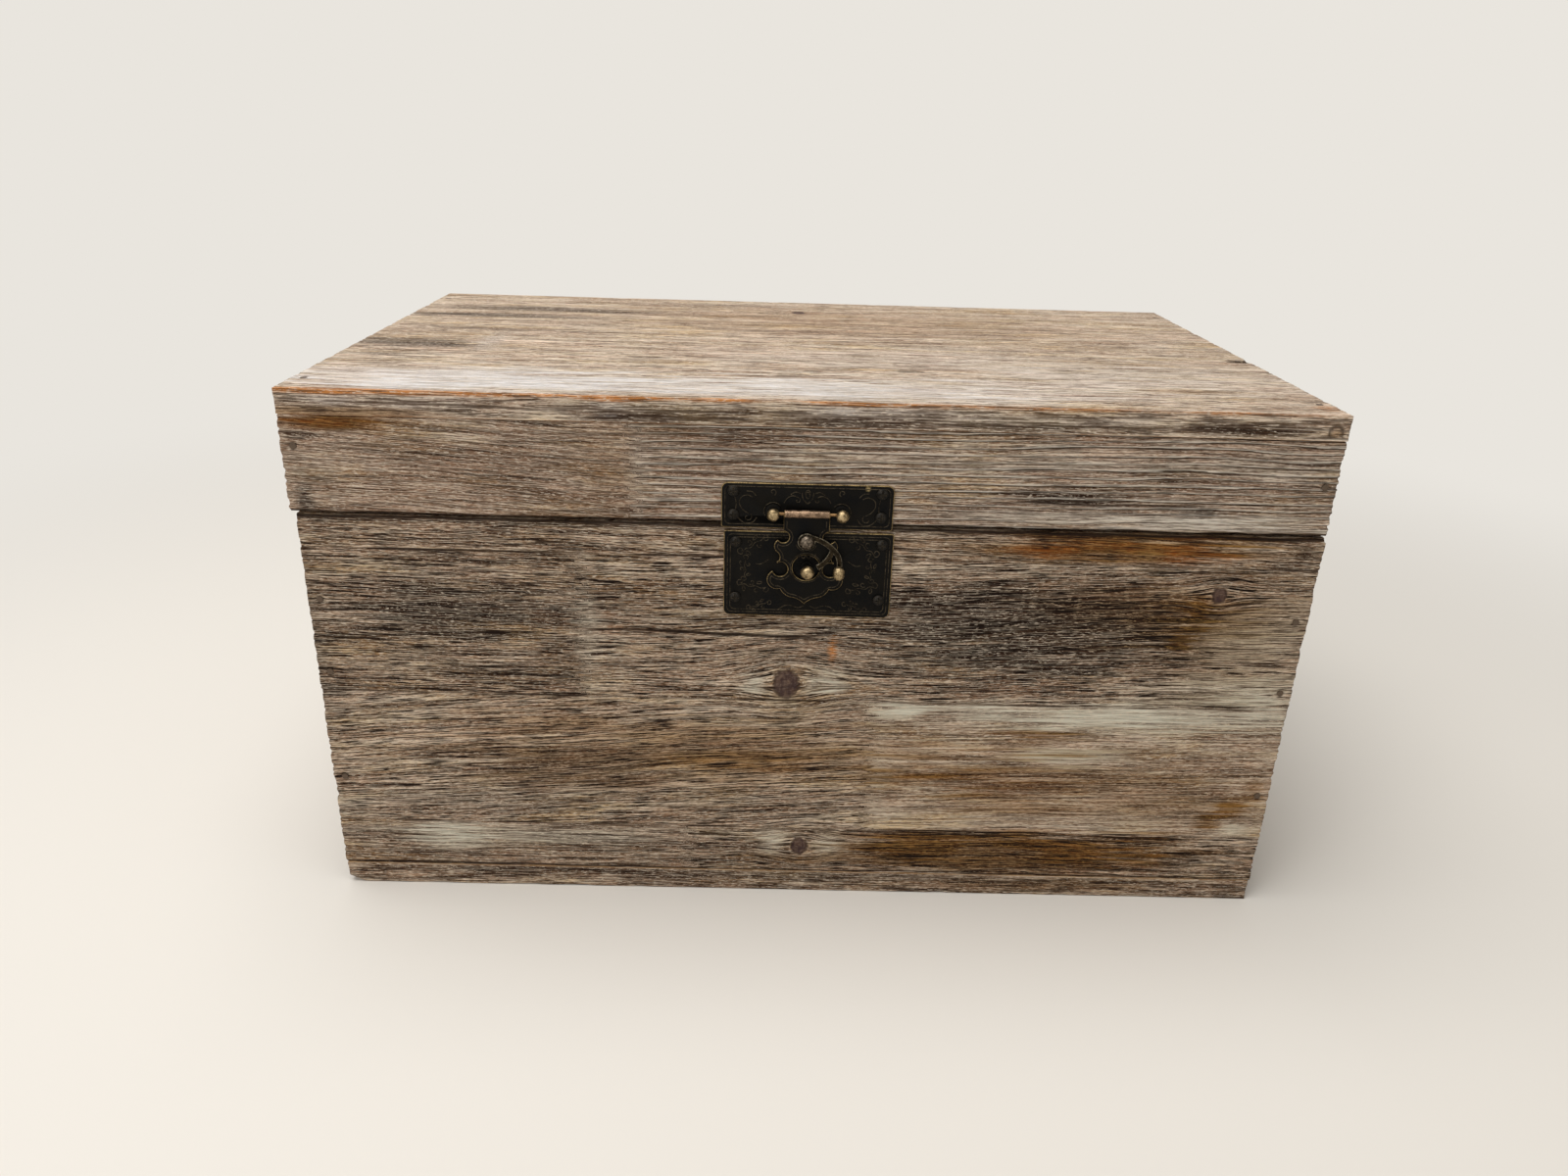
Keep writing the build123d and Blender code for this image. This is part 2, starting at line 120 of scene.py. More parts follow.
floor_paint, tree, shader = new_material("matt_board")
grit = node(tree, "ShaderNodeTexNoise", {"Scale": GRIT_SCALE, "Detail": 3.0})
bump = node(tree, "ShaderNodeBump", {"Height": grit, "Strength": 0.1, "Distance": GRIT_HEIGHT})
fill(shader, {"Base Color": srgb(FLOOR_PALE), "Roughness": 0.85, "Normal": bump})
path = node(tree, "ShaderNodeLightPath").outputs
seen = node(tree, "ShaderNodeMath", {0: path["Is Camera Ray"], 1: path["Is Glossy Ray"]}, operation="MAXIMUM")
place = node(tree, "ShaderNodeTexCoord").outputs["Object"]
away = node(tree, "ShaderNodeVectorMath", {0: place}, operation="LENGTH").outputs["Value"]
reach = {0: away, 1: BACKDROP_FROM, 2: BACKDROP_TO}
far = node(tree, "ShaderNodeMapRange", reach, interpolation_type="SMOOTHSTEP")
share = node(tree, "ShaderNodeMath", {0: far, 1: seen}, operation="MULTIPLY")
glow = node(tree, "ShaderNodeEmission", {"Color": srgb(BACKDROP_PALE), "Strength": 1.0})
both = node(tree, "ShaderNodeMixShader", {0: share, 1: shader, 2: glow})
fill(tree.nodes["Material Output"], {"Surface": both})
corners = [(x * FLOOR_HALF, y * FLOOR_HALF, 0.0) for x, y in ((-1, -1), (1, -1), (1, 1), (-1, 1))]
mesh = bpy.data.meshes.new("floor")
mesh.from_pydata(corners, [], [(0, 1, 2, 3)])
mesh.materials.append(floor_paint)
new_object("floor", mesh)


# Light: an even pale room, one wide lamp overhead and one soft lamp at the front left.
ROOM_LIGHT = 0.38
ROOM_PALE = "#efebe4"
LAMPS = (
    # name, place, size, watts, aimed at
    ("overhead", (-0.35, -0.15, 1.75), 1.5, 27.0, (0.0, 0.0, 0.2)),
    ("front_left", (-1.1, -1.6, 1.0), 1.2, 9.5, (0.0, 0.0, 0.12)),
)

world = bpy.data.worlds.new("studio")
world.use_nodes = True
bpy.context.scene.world = world
tree = world.node_tree
tree.nodes.clear()
path = node(tree, "ShaderNodeLightPath").outputs
seen = node(tree, "ShaderNodeMath", {0: path["Is Camera Ray"], 1: path["Is Glossy Ray"]}, operation="MAXIMUM")
room = node(tree, "ShaderNodeBackground", {"Color": srgb(ROOM_PALE), "Strength": ROOM_LIGHT})
backdrop = node(tree, "ShaderNodeBackground", {"Color": srgb(BACKDROP_PALE), "Strength": 1.0})
mixed = node(tree, "ShaderNodeMixShader", {0: seen, 1: room, 2: backdrop})
node(tree, "ShaderNodeOutputWorld", {"Surface": mixed})
for name, place, size, watts, target in LAMPS:
    lamp = bpy.data.lights.new(name, "AREA")
    lamp.size = size
    lamp.energy = watts
    holder = bpy.data.objects.new(name, lamp)
    aim = (Vector(target) - Vector(place)).to_track_quat("-Z", "Y")
    holder.matrix_world = Matrix.Translation(place) @ aim.to_matrix().to_4x4()
    bpy.context.scene.collection.objects.link(holder)


# Front panel: the board that shows its face. Like every board of the chest it is glued up from
# short staves of old fir with finger joints, wire-brushed until the hard grain stands proud,
# stained, and rubbed with thin white paint. Its ends lap the end panels and are nailed to them.
# Millimetres here, in the frame of the chest: X to the right, Y to the back, Z up.
MM = 0.001
HAIR = 0.01  # a point this close to a face lies on it
ALONG_STEP = 2.8  # between mesh lines along the grain
END_STEP = 1.0  # the same near a board's ends
END_LENGTH = 10.0
EDGE_STEP = 0.75  # between mesh lines down a board's edges
ARRIS_LINES = (0.0, 0.2, 0.5, 1.1)  # the mesh lines next to an arris
INNER_EDGE = 2.0  # the fine lines down the edges end this far from the inner face
COARSE = 6  # on the inner face only every sixth line goes on
NOISE_KNOTS = (199, 211)  # before the noise repeats itself
ARRIS = 0.5  # radius of the brushed arrises
ARRIS_WEAR = 1.2  # how much more where they are worn
END_NOTCH = 0.7  # depth of the worn grooves at a board's ends
FINGER_PITCH = 4.0  # of the finger joints between staves
FINGER_LENGTH = 9.0
GLUE_SHIFT = (2.3, 3.1)  # how far the grain jumps from stave to stave, across and into the board
GLUE_LINE = (0.8, 0.2)  # half width of the dark line between staves, where it ends and where it is full
BOARD_SHIFT = (211.0, 53.0)  # every board is cut from another part of the grain, along and into it
GRAIN_WAVES = ((1.6, 55, 40), (0.4, 17, 6))  # how far the grain wanders, and over what length and width
KNOT_BEND = (3.4, 2.3)  # how far the grain bends round a knot, along and across, in its radii
RIDGED_FROM = 1.2  # wood brushed deeper than this stands in ridges
NOTCH_LENGTH = 7
CRACK_WANDER = (1.2, 14)  # how far a crack wanders, and over what length
CRACK_TAPER = 8  # at each of its ends
MARK_EDGE = (1.2, 0.25)  # a mark ends and is full at these shares of its half length and width
MARK_TEAR = 0.75  # how much its edge is torn along the grain
NAIL_DIMPLE = 0.55
NAIL_RADIUS = 1.9
NAIL_STAIN = (3.2, 1.2)  # radius of the rust round it, where it ends and where it is full
NAIL_REACH = 15.0  # the middle of a nail is at most this far behind the face it was driven into
GRAIN_DEPTH = 0.35  # of the brushed-out soft grain
DEEP_LINES = (0.8, 0.41, 0.375)  # scale of its lines, and where the noise begins and ends them
FINE_LINES = (1.5, 0.465, 0.425)
SWELL = (0.5, 0.4, 0.4)  # how broad the shallow waves of the whole face are, against the lines
RIDGE = (90.0, 3.3, 3.3)  # length and pitch of the ridges of coarse wood
RIDGE_BEND = 1.5  # how far they wander, in pitches
RIDGE_DEPTH = 0.45


def smooth_noise(u, v, seed):
    """Smooth random values from 0 to 1, with one knot at every whole number."""
    nu, nv = NOISE_KNOTS
    table = np.random.default_rng(seed).random(NOISE_KNOTS)
    iu, iv = np.floor(u).astype(int), np.floor(v).astype(int)
    fu, fv = u - iu, v - iv
    fu, fv = fu * fu * (3 - 2 * fu), fv * fv * (3 - 2 * fv)
    low, high = (
        table[(iu + i) % nu, iv % nv] * (1 - fv) + table[(iu + i) % nu, (iv + 1) % nv] * fv
        for i in (0, 1)
    )
    return low * (1 - fu) + high * fu


def ramp(value, low, high):
    """0 below low, 1 above high, and an even curve between them; low may be above high."""
    t = np.clip((value - low) / (high - low), 0, 1)
    return t * t * (3 - 2 * t)


def mesh_lines(length, step, near_end):
    """Places of mesh lines on a length, closer together near both ends."""
    first = list(ARRIS_LINES)
    while first[-1] < near_end:
        first.append(first[-1] + END_STEP)
    inner = np.arange(first[-1] + step, length - first[-1] - step / 2, step)
    return np.concatenate([first, inner, length - np.array(first[::-1])])


def kept_lines(count):
    """The mesh lines that go on across the inner face."""
    return [*range(4), *range(3 + COARSE, count - 5, COARSE), *range(count - 4, count)]


def board_mesh(us, vs, thickness):
    """Points and faces of a closed board, finely divided on its face and edges and coarse inside."""
    nu, nv = len(us), len(vs)
    index = np.arange(nu * nv).reshape(nu, nv)
    points = [np.stack([np.repeat(us, nv), np.tile(vs, nu), np.zeros(nu * nv)], 1)]
    quads = np.stack([index[:-1, :-1], index[1:, :-1], index[1:, 1:], index[:-1, 1:]], -1)
    faces = quads.reshape(-1, 4).tolist()
    loop = np.concatenate([index[:, 0], index[-1, 1:], index[-2::-1, -1], index[0, -2:0:-1]])
    rim = points[0][loop]
    turn = len(loop)
    total = nu * nv
    last = loop
    fine = np.arange(ARRIS_LINES[2] + EDGE_STEP, thickness - INNER_EDGE, EDGE_STEP)
    for depth in (*ARRIS_LINES[1:3], *fine):
        ring = np.arange(total, total + turn)
        points.append(rim + [0, 0, depth])
        faces += np.stack([last, ring, np.roll(ring, -1), np.roll(last, -1)], 1).tolist()
        last, total = ring, total + turn
    keep_u, keep_v = kept_lines(nu), kept_lines(nv)
    coarse = [k for k in range(turn) if loop[k] // nv in keep_u and loop[k] % nv in keep_v]
    for depth in thickness - np.array(ARRIS_LINES[::-1]):
        ring = np.arange(total, total + len(coarse))
        points.append(rim[coarse] + [0, 0, depth])
        for k, start in enumerate(coarse):
            after = (k + 1) % len(coarse)
            if len(last) == turn:
                above = [last[j % turn] for j in range(start, (coarse[after] or turn) + 1)]
            else:
                above = [last[k], last[after]]
            faces.append([int(i) for i in above[::-1]] + [int(ring[k]), int(ring[after])])
        last, total = ring, total + len(coarse)
    inner = {int(loop[coarse[k]]): int(last[k]) for k in range(len(coarse))}
    inside = [int(index[i, j]) for i in keep_u[1:-1] for j in keep_v[1:-1]]
    inner.update({old: total + k for k, old in enumerate(inside)})
    points.append(points[0][inside] + [0, 0, thickness])
    for i, after_i in zip(keep_u, keep_u[1:]):
        for j, after_j in zip(keep_v, keep_v[1:]):
            around = (index[i, j], index[i, after_j], index[after_i, after_j], index[after_i, j])
            faces.append([inner[int(corner)] for corner in around])
    return np.concatenate(points), faces


def box_mm(name):
    """Low and high corner of a node's box, in millimetres."""
    return (np.array(corner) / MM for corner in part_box(name))


def merged(mesh, gap=1e-6):
    """A mesh open for work, with its doubled points made one."""
    work = bmesh.new()
    work.from_mesh(mesh)
    bmesh.ops.remove_doubles(work, verts=work.verts, dist=gap)
    return work


def solid_middles(name):
    """Middles, in millimetres, of the separate solids of a CAD node."""
    work = merged(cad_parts[name].data)
    left = set(work.verts)
    middles = []
    while left:
        group = {left.pop()}
        front = set(group)
        while front:
            front = {e.other_vert(v) for v in front for e in v.link_edges} & left
            left -= front
            group |= front
        spots = np.array([v.co for v in group]) / MM
        middles.append((spots.min(0) + spots.max(0)) / 2)
    work.free()
    return sorted(tuple(m) for m in middles)


def nails_on(nails, board, along, face, side):
    """Along and across places of a group's nail heads that sit in one face of a board."""
    low, high = box_mm(board)
    level = low[face] if side < 0 else high[face]
    across = 3 - along - face
    return [(m[along], m[across]) for m in solid_middles(nails) if abs(m[face] - level) < NAIL_REACH]


def worked_out(tree, value, steps):
    """Adds to a table of values: each step names one, says how it is made, and gives what goes in,
    as the names of earlier values or as numbers."""
    for made, way, *terms in steps:
        inputs = {socket: value.get(term, term) for socket, term in enumerate(terms)}
        if way in ("LINEAR", "SMOOTHSTEP"):
            value[made] = node(tree, "ShaderNodeMapRange", inputs, interpolation_type=way)
        else:
            value[made] = node(tree, "ShaderNodeMath", inputs, operation=way)


def grain_lines(tree, lines, scale, start, full):
    """Nodes for the broken dark lines of brushed-out soft grain, 1 in the middle of a line. Both the
    geometry tree and the wood's material hold them, so the colour lies in the real grooves."""
    inputs = {"Vector": lines, "Scale": scale, "Detail": 2.0, "Roughness": 0.55}
    noise = node(tree, "ShaderNodeTexNoise", inputs)
    inputs = {0: noise, 1: start, 2: full}
    return node(tree, "ShaderNodeMapRange", inputs, interpolation_type="SMOOTHSTEP")


def ridge_phase(tree, grain):
    """Nodes for the ridges of coarse wood: 0 at the crest of each ridge, rising to 1 at the groove
    above it, with the ridges wandering and running into each other."""
    spaced = node(tree, "ShaderNodeVectorMath", {0: grain, 1: RIDGE}, operation="DIVIDE")
    bend = node(tree, "ShaderNodeTexNoise", {"Vector": spaced, "Scale": 0.7, "Detail": 3.0, "Roughness": 0.6})
    across = node(tree, "ShaderNodeSeparateXYZ", {0: spaced}).outputs
    value = {"bend": bend, "across": across[1], "into": across[2]}
    worked_out(tree, value, (
        ("deep", "ADD", "across", "into"),
        ("phase", "MULTIPLY_ADD", "bend", RIDGE_BEND, "deep"),
        ("phase", "FRACT", "phase"),
    ))
    return value["phase"]


def new_geometry_tree(name, made, kinds):
    """An empty geometry tree, with its inputs by name and kind, and one output for what is made."""
    tree = bpy.data.node_groups.new(name, "GeometryNodeTree")
    for key, kind in kinds.items():
        tree.interface.new_socket(key, in_out="INPUT", socket_type="NodeSocket" + kind)
    tree.interface.new_socket(made, in_out="OUTPUT", socket_type="NodeSocketGeometry")
    return tree, node(tree, "NodeGroupInput").outputs


def close_tree(tree, shape, finish):
    """Ends a geometry tree: what it made becomes real points and takes its finish."""
    real = node(tree, "GeometryNodeRealizeInstances", {0: shape})
    painted = node(tree, "GeometryNodeSetMaterial", {"Geometry": real, "Material": finish})
    node(tree, "NodeGroupOutput", {0: painted})
    return tree


def brushed_grain_tree():
    """Geometry nodes that sink the soft grain of a board between its hard grain."""
    kinds = {"Board": "Geometry", "Depth": "Float", "Finish": "Material"}
    tree, given = new_geometry_tree("brushed_grain", "Board", kinds)
    value = {"given depth": given["Depth"]}
    for keys, kind in ((("lines", "grain"), "FLOAT_VECTOR"), (("brushed", "crack", "ridged"), "FLOAT")):
        for key in keys:
            value[key] = node(tree, "GeometryNodeInputNamedAttribute", {"Name": key}, data_type=kind)
    swell_at = node(tree, "ShaderNodeVectorMath", {0: value["lines"], 1: SWELL}, operation="MULTIPLY")
    value["swell"] = node(tree, "ShaderNodeTexNoise", {"Vector": swell_at, "Scale": 1.0, "Detail": 4.0})
    value["soft"] = grain_lines(tree, value["lines"], *DEEP_LINES)
    value["phase"] = ridge_phase(tree, value["grain"])
    worked_out(tree, value, (
        ("groove", "MULTIPLY", "soft", "brushed"),
        ("groove", "MAXIMUM", "groove", "crack"),
        ("swell", "MULTIPLY", "swell", "brushed"),
        ("depth", "ADD", "groove", "swell"),
        ("depth", "MULTIPLY", "depth", "given depth"),
        ("slant", "MULTIPLY", "phase", "ridged"),
        ("depth", "MULTIPLY_ADD", "slant", RIDGE_DEPTH, "depth"),
        ("down", "MULTIPLY", "depth", -MM),
    ))
    normal = node(tree, "GeometryNodeInputNormal")
    offset = node(tree, "ShaderNodeVectorMath", {0: normal, "Scale": value["down"]}, operation="SCALE")
    sunk = node(tree, "GeometryNodeSetPosition", {"Geometry": given["Board"], "Offset": offset})
    return close_tree(tree, sunk, given["Finish"])


brushed_grain = brushed_grain_tree()


def plain_mesh(draft, name):
    """What its modifier makes of a draft, as a plain mesh. The draft and its modifier go."""
    bpy.context.view_layer.update()
    graph = bpy.context.evaluated_depsgraph_get()
    shaped = draft.evaluated_get(graph)
    mesh = bpy.data.meshes.new_from_object(shaped, preserve_all_data_layers=True, depsgraph=graph)
    draft.modifiers.clear()
    bpy.data.objects.remove(draft)
    mesh.name = name
    return mesh


def settle(mesh, tree, **values):
    """What a geometry tree makes of a mesh, with these values for its inputs."""
    draft = new_object("draft", mesh)
    modifier = draft.modifiers.new(tree.name, "NODES")
    modifier.node_group = tree
    for item in tree.interface.items_tree:
        if item.in_out == "INPUT" and item.name in values:
            modifier[item.identifier] = values[item.name]
    return plain_mesh(draft, mesh.name)


def belongs(piece, body, stands_for=None):
    """Puts a piece on its body, in the place of its CAD node if it has one."""
    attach(piece, body)
    if stands_for:
        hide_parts(stands_for)
    return piece


def make_board(
    name, body, along, face, side, finish, slot, seed, staves, marks=(), cracks=(), knots=(), dents=(),
    nails=None, plugs=(), foot=None, across_step=0.6, pitch=0.58, run=21.0,
):
    """One board. along and face are the axes of its grain and of its brushed face, and side says
    whether that face is low or high. Places are (along, across) with the edges unrolled, so that
    a place beyond the face lies on an edge. Each stave is (low along, high along, low across, high
    across, tone, slope of the grain, how deeply it is brushed), each mark of a kind (along, across,
    half length, half width, strength), each crack (from, to, across, width, strength, slope), each
    knot or plug (along, across, radius), and each dent (along, across, half length, half width,
    depth). nails names the group of brads in its face, and foot is a corner and the direction in
    which all beyond it is worn away. pitch and run are the fine grain's, across and along."""
    low, high = box_mm(name)
    across = 3 - along - face
    us = mesh_lines(high[along] - low[along], ALONG_STEP, END_LENGTH)
    vs = mesh_lines(high[across] - low[across], across_step, 1.0)
    thickness = high[face] - low[face]
    points, faces = board_mesh(us, vs, thickness)
    u, v, w = points.T
    size = np.array([us[-1], vs[-1], thickness])
    outside = w < thickness - HAIR
    end = ((u > us[-1] - HAIR).astype(float) - (u < HAIR)) * outside
    edge = ((v > vs[-1] - HAIR).astype(float) - (v < HAIR)) * outside
    x, z = u + low[along] + end * w, v + low[across] + edge * w

    # staves: each has its own tone and its own run of grain, and ends in a finger joint
    tone, slope, deep, seam = (np.zeros(len(u)) for _ in range(4))
    shift = np.zeros((len(u), 2))
    fingers = FINGER_LENGTH * (np.abs(z / FINGER_PITCH % 1 - 0.5) * 2 - 0.5)
    for number, (x_low, x_high, z_low, z_high, stave_tone, stave_slope, stave_depth) in enumerate(staves):
        inside = (x + fingers >= x_low) & (x + fingers < x_high) & (z >= z_low) & (z < z_high)
        tone[inside] = stave_tone
        slope[inside] = stave_slope
        deep[inside] = stave_depth
        shift[inside] = np.array(GLUE_SHIFT) * number
        line = ramp(np.abs(z - z_low), *GLUE_LINE) * (x >= x_low) * (x <= x_high)
        seam = np.maximum(seam, line * ramp(smooth_noise(x / 23, z / 50 + number, seed), 0.35, 0.75))
    grain_v = v - slope * x
    for number, (height, length, width) in enumerate(GRAIN_WAVES, 1):
        grain_v += height * (smooth_noise(x / length, z / width, seed + number) - 0.5)
    knot = np.zeros(len(u))
    for knot_x, knot_z, radius in knots:
        du, dv = (x - knot_x) / (KNOT_BEND[0] * radius), z - knot_z
        grain_v -= dv * 0.75 * np.exp(-(du**2) - (dv / (KNOT_BEND[1] * radius)) ** 2)
        knot = np.maximum(knot, np.clip(1.3 - np.hypot((x - knot_x) / 0.95, dv / 1.2) / radius, 0, 1.3))
    far_u, far_w = np.array(BOARD_SHIFT) * seed
    grain = np.stack([u + far_u, grain_v + shift[:, 0], w + shift[:, 1] + far_w], 1)

    # marks: patches of thin paint, stain, dirt and bare wood, torn along the grain; a few stand for painted
    # shade or painted sheen instead
    torn = smooth_noise(u / 24, grain_v / 1.1, seed + 4) - 0.8
    torn += 0.6 * smooth_noise(u / 60, grain_v / 4, seed + 5)
    masks = {kind: np.zeros(len(u)) for kind in ("wash", "amber", "umber", "bare", "ridged")}
    all_marks = [(kind, *mark) for kind, rows in dict(marks).items() for mark in rows]
    for kind, mark_x, mark_z, half_x, half_z, strength in all_marks:
        away = np.hypot((x - mark_x) / half_x, (z - mark_z) / half_z)
        masks[kind] += strength * ramp(away + MARK_TEAR * torn, *MARK_EDGE)
    crack = seam
    wander, over = CRACK_WANDER
    for crack_x0, crack_x1, crack_z, width, strength, crack_slope in cracks:
        line_z = crack_z + crack_slope * (x - crack_x0)
        line_z += wander * (smooth_noise(x / over, x * 0 + crack_z, seed + 6) - 0.5)
        ends = ramp(x, crack_x0, crack_x0 + CRACK_TAPER) * ramp(x, crack_x1, crack_x1 - CRACK_TAPER)
        crack = np.maximum(crack, strength * ends * ramp(np.abs(z - line_z), width * 1.3, width * 0.4))

    # wear: rounded arrises, notched ends, nail dimples and dents
    wear = ramp(smooth_noise(x / 9 + 5, z / 9, seed + 7), 0.55, 0.95)
    radius = ARRIS + ARRIS_WEAR * wear * (w < thickness / 2)
    core = np.clip(points, radius[:, None], size - radius[:, None])
    out = points - core
    length = np.linalg.norm(out, axis=1)
    length[length == 0] = 1
    rounded = core + out / length[:, None] * radius[:, None]
    points = np.where(np.abs(out).max(1)[:, None] > 0, rounded, points)
    inward = np.stack([-end, -edge, (np.abs(end) + np.abs(edge) == 0).astype(float)], 1)
    notch = END_NOTCH * ramp(smooth_noise(grain_v / 1.5, w / 6 + 3, seed + 8), 0.45, 1.0)
    notch += 0.5 * smooth_noise(grain_v / 7, w / 9, seed + 9) ** 2
    reach = 1 - 0.5 * w / thickness
    at_ends = ramp(u, NOTCH_LENGTH, 0) ** 2 - ramp(us[-1] - u, NOTCH_LENGTH, 0) ** 2
    points[:, 0] += notch * reach * at_ends
    for nail_x, nail_z in nails_on(nails, name, along, face, side) if nails else ():
        away = np.hypot(x - nail_x, z - nail_z)
        sink = NAIL_DIMPLE * ramp(away, NAIL_RADIUS * 1.3, NAIL_RADIUS * 0.8) * outside
        points += inward * sink[:, None]
        masks["umber"] += 0.25 * ramp(away, *NAIL_STAIN)
    for plug_x, plug_z, plug_radius in plugs:
        away = np.hypot(x - plug_x, z - plug_z)
        crack = np.maximum(crack, 0.9 * ramp(np.abs(away - plug_radius), 1.2, 0.4) * (w < thickness - 1))
        masks["amber"] += 0.5 * ramp(away, plug_radius, plug_radius - 1)
    for dent_x, dent_z, half_x, half_z, dent_depth in dents:
        away = np.hypot((x - dent_x) / half_x, (z - dent_z) / half_z)
        points += inward * (dent_depth * ramp(away, 1.0, 0.45) * outside)[:, None]
        crack = np.maximum(crack, 0.9 * ramp(away, 1.0, 0.7))
    calm = (1 - 0.5 * np.clip(masks["wash"], 0, 1)) * ramp(knot, 0.4, 0.1)
    calm = calm * ramp(w, thickness - 0.2, thickness - 1.0)
    ridged = np.clip(2.5 * (deep - RIDGED_FROM) + masks.pop("ridged"), 0, 1) * calm
    brushed = np.minimum(deep, RIDGED_FROM) * calm * (1 - 0.5 * ridged)
    inner_face = ~outside & (u > HAIR) & (u < us[-1] - HAIR) & (v > HAIR) & (v < vs[-1] - HAIR)

    # into the chest's frame
    placed = np.zeros_like(points)
    placed[:, along] = points[:, 0] + low[along]
    placed[:, across] = points[:, 1] + low[across]
    placed[:, face] = low[face] + points[:, 2] if side < 0 else high[face] - points[:, 2]
    if foot is not None:
        corner, normal = foot
        beyond = (placed - corner) @ normal
        placed -= np.where(beyond > 0, beyond, 0)[:, None] * normal
    mesh = bpy.data.meshes.new(name)
    mesh.from_pydata((placed * MM).tolist(), [], faces)
    work = bmesh.new()
    work.from_mesh(mesh)
    bmesh.ops.recalc_face_normals(work, faces=work.faces)
    work.to_mesh(mesh)
    work.free()
    mesh.shade_smooth()
    values = {
        "tone": tone, "crack": crack, "knot": knot, "brushed": brushed, "ridged": ridged, "end": np.abs(end),
        "raw": inner_face, **masks,
    }
    for key, value in values.items():
        mesh.attributes.new(key, "FLOAT", "POINT").data.foreach_set("value", value.astype(np.float32))
    for key, value in {"grain": grain, "lines": grain / [run, pitch, pitch]}.items():
        flat = value.astype(np.float32).ravel()
        mesh.attributes.new(key, "FLOAT_VECTOR", "POINT").data.foreach_set("vector", flat)
    settled = settle(mesh, brushed_grain, Depth=GRAIN_DEPTH, Finish=finish)
    belongs(new_object("wood_" + name, settled), body, name)


# The wood's colours are built up as such boards are finished. The patterns of its grain have a
# name, a length and pitch in millimetres and a fineness. The steps work out from them where each
# stain, paint and groove lies, and where highlights and shadow are painted on the ridges: a value, how it is
# made, and what it is made from.
FIR_PATTERNS = (
    ("fibre", 2.8, 0.33, 4.0), ("streak", 45.0, 1.1, 4.0), ("band", 150.0, 8.0, 3.0),
    ("patch", 34.0, 8.0, 3.0), ("fleck", 2.6, 0.42, 2.0), ("hue", 60.0, 11.0, 3.0), ("knotty", 1.9, 1.3, 4.0),
)
FIR_TONES = (("band", 1.2), ("streak", 1.35), ("patch", 0.7), ("fibre", 1.9))  # share of each in the tone
STAVE_TONE = 0.3  # the share of the stave's own
YEAR_RINGS = (0.0, 0.225, 0.225)  # on the sawn ends: how close they are, along, across and into it
FIBRE_HEIGHT = 0.3  # of the finest fibres, in millimetres
FIR_SHINE = 0.12  # hardly any
LIP_HIGHLIGHT_RISE = 0.7  # how far above a fine line its painted highlight lies, in widths of the lines
FIR_STEPS = (
    # dark lines: the brushed-out grain, the grooves between ridges with a painted shadow under each crest,
    # cracks and glue lines
    ("line", "MAXIMUM", "deep", "fine"),
    ("line", "MULTIPLY", "line", "brushed"),
    ("broken", "LINEAR", "patch", 0.3, 0.42),
    # painted shadow: a dark line just below each ridge's crest
    ("groove", "SMOOTHSTEP", "phase", 0.79, 0.95, 0.0, 0.92),
    ("groove", "MULTIPLY", "groove", "broken"),
    ("groove", "MULTIPLY", "groove", "ridged"),
    ("line", "MAXIMUM", "line", "groove"),
    ("line", "MAXIMUM", "line", "crack"),
    ("dip", "MULTIPLY", "line", 0.96),
    ("above", "SUBTRACT", 1.0, "line"),
    # painted highlights, in paint colour on the crests of ridges and in pale wood colour on the lip above
    # each fine line, and torn patches of thin paint
    ("crest", "LINEAR", "phase", 0.28, 0.05, 0.0, 0.85),
    ("crest", "MULTIPLY", "crest", "ridged"),
    ("crest", "MULTIPLY", "crest", "broken"),
    ("lip_highlight", "SUBTRACT", "below", "line"),
    ("lip_highlight", "MULTIPLY", "lip_highlight", 0.38),
    ("torn", "LINEAR", "streak", 0.36, 0.58, 0.2, 1.0),
    ("wash", "MULTIPLY", "wash", "torn"),
    ("wash", "MULTIPLY", "wash", "above"),
    # pale flecks and dark fibres
    ("flecks", "LINEAR", "fleck", 0.57, 0.61, 0.0, 0.75),
    ("flecks", "MULTIPLY", "flecks", "above"),
    ("fibres", "LINEAR", "fibre", 0.44, 0.3, 0.0, 0.8),
    ("fibres", "MULTIPLY", "fibres", "brushed"),
    # knots: a ragged core, mottled, with year rings and a line of bark round it
    ("ragged", "MULTIPLY_ADD", "fleck", 0.5, "knot"),
    ("core", "LINEAR", "ragged", 0.45, 0.75, 0.0, 0.9),
    ("half", "MULTIPLY", "core", 0.45),
    ("mottled", "LINEAR", "knotty", 0.57, 0.42, 0.0, 0.85),
    ("mottled", "MULTIPLY", "mottled", "core"),
    ("wander", "MULTIPLY", "fleck", 9.0),
    ("year", "MULTIPLY_ADD", "knot", 19.0, "wander"),
    ("year", "SINE", "year"),
    ("year", "LINEAR", "year", -0.2, 0.9, 0.0, 0.4),
    ("year", "MULTIPLY", "year", "core"),
    ("bark", "COMPARE", "ragged", 0.62, 0.08),
    ("bark", "MULTIPLY", "bark", 0.5),
    # sawn ends, and the planed inside
    ("sawn", "LINEAR", "rings", 0.2, 0.9, 0.75, 0.2),
    ("sawn", "MULTIPLY", "sawn", "end"),
    ("planed", "LINEAR", "streak", 0.56, 0.36, 0.0, 0.6),
    ("planed", "MULTIPLY", "planed", "raw"),
    # slow changes of colour, and how rough and how high it is
    ("rosy", "LINEAR", "hue", 0.42, 0.62),
    ("ochre", "LINEAR", "hue", 0.5, 0.34),
    ("stain", "LINEAR", "streak", 0.44, 0.36, 0.0, 0.8),
    ("rough", "LINEAR", "fibre", 0.3, 0.7, 0.85, 0.62),
    ("height", "MULTIPLY_ADD", "line", -1.6, "fibre"),
)
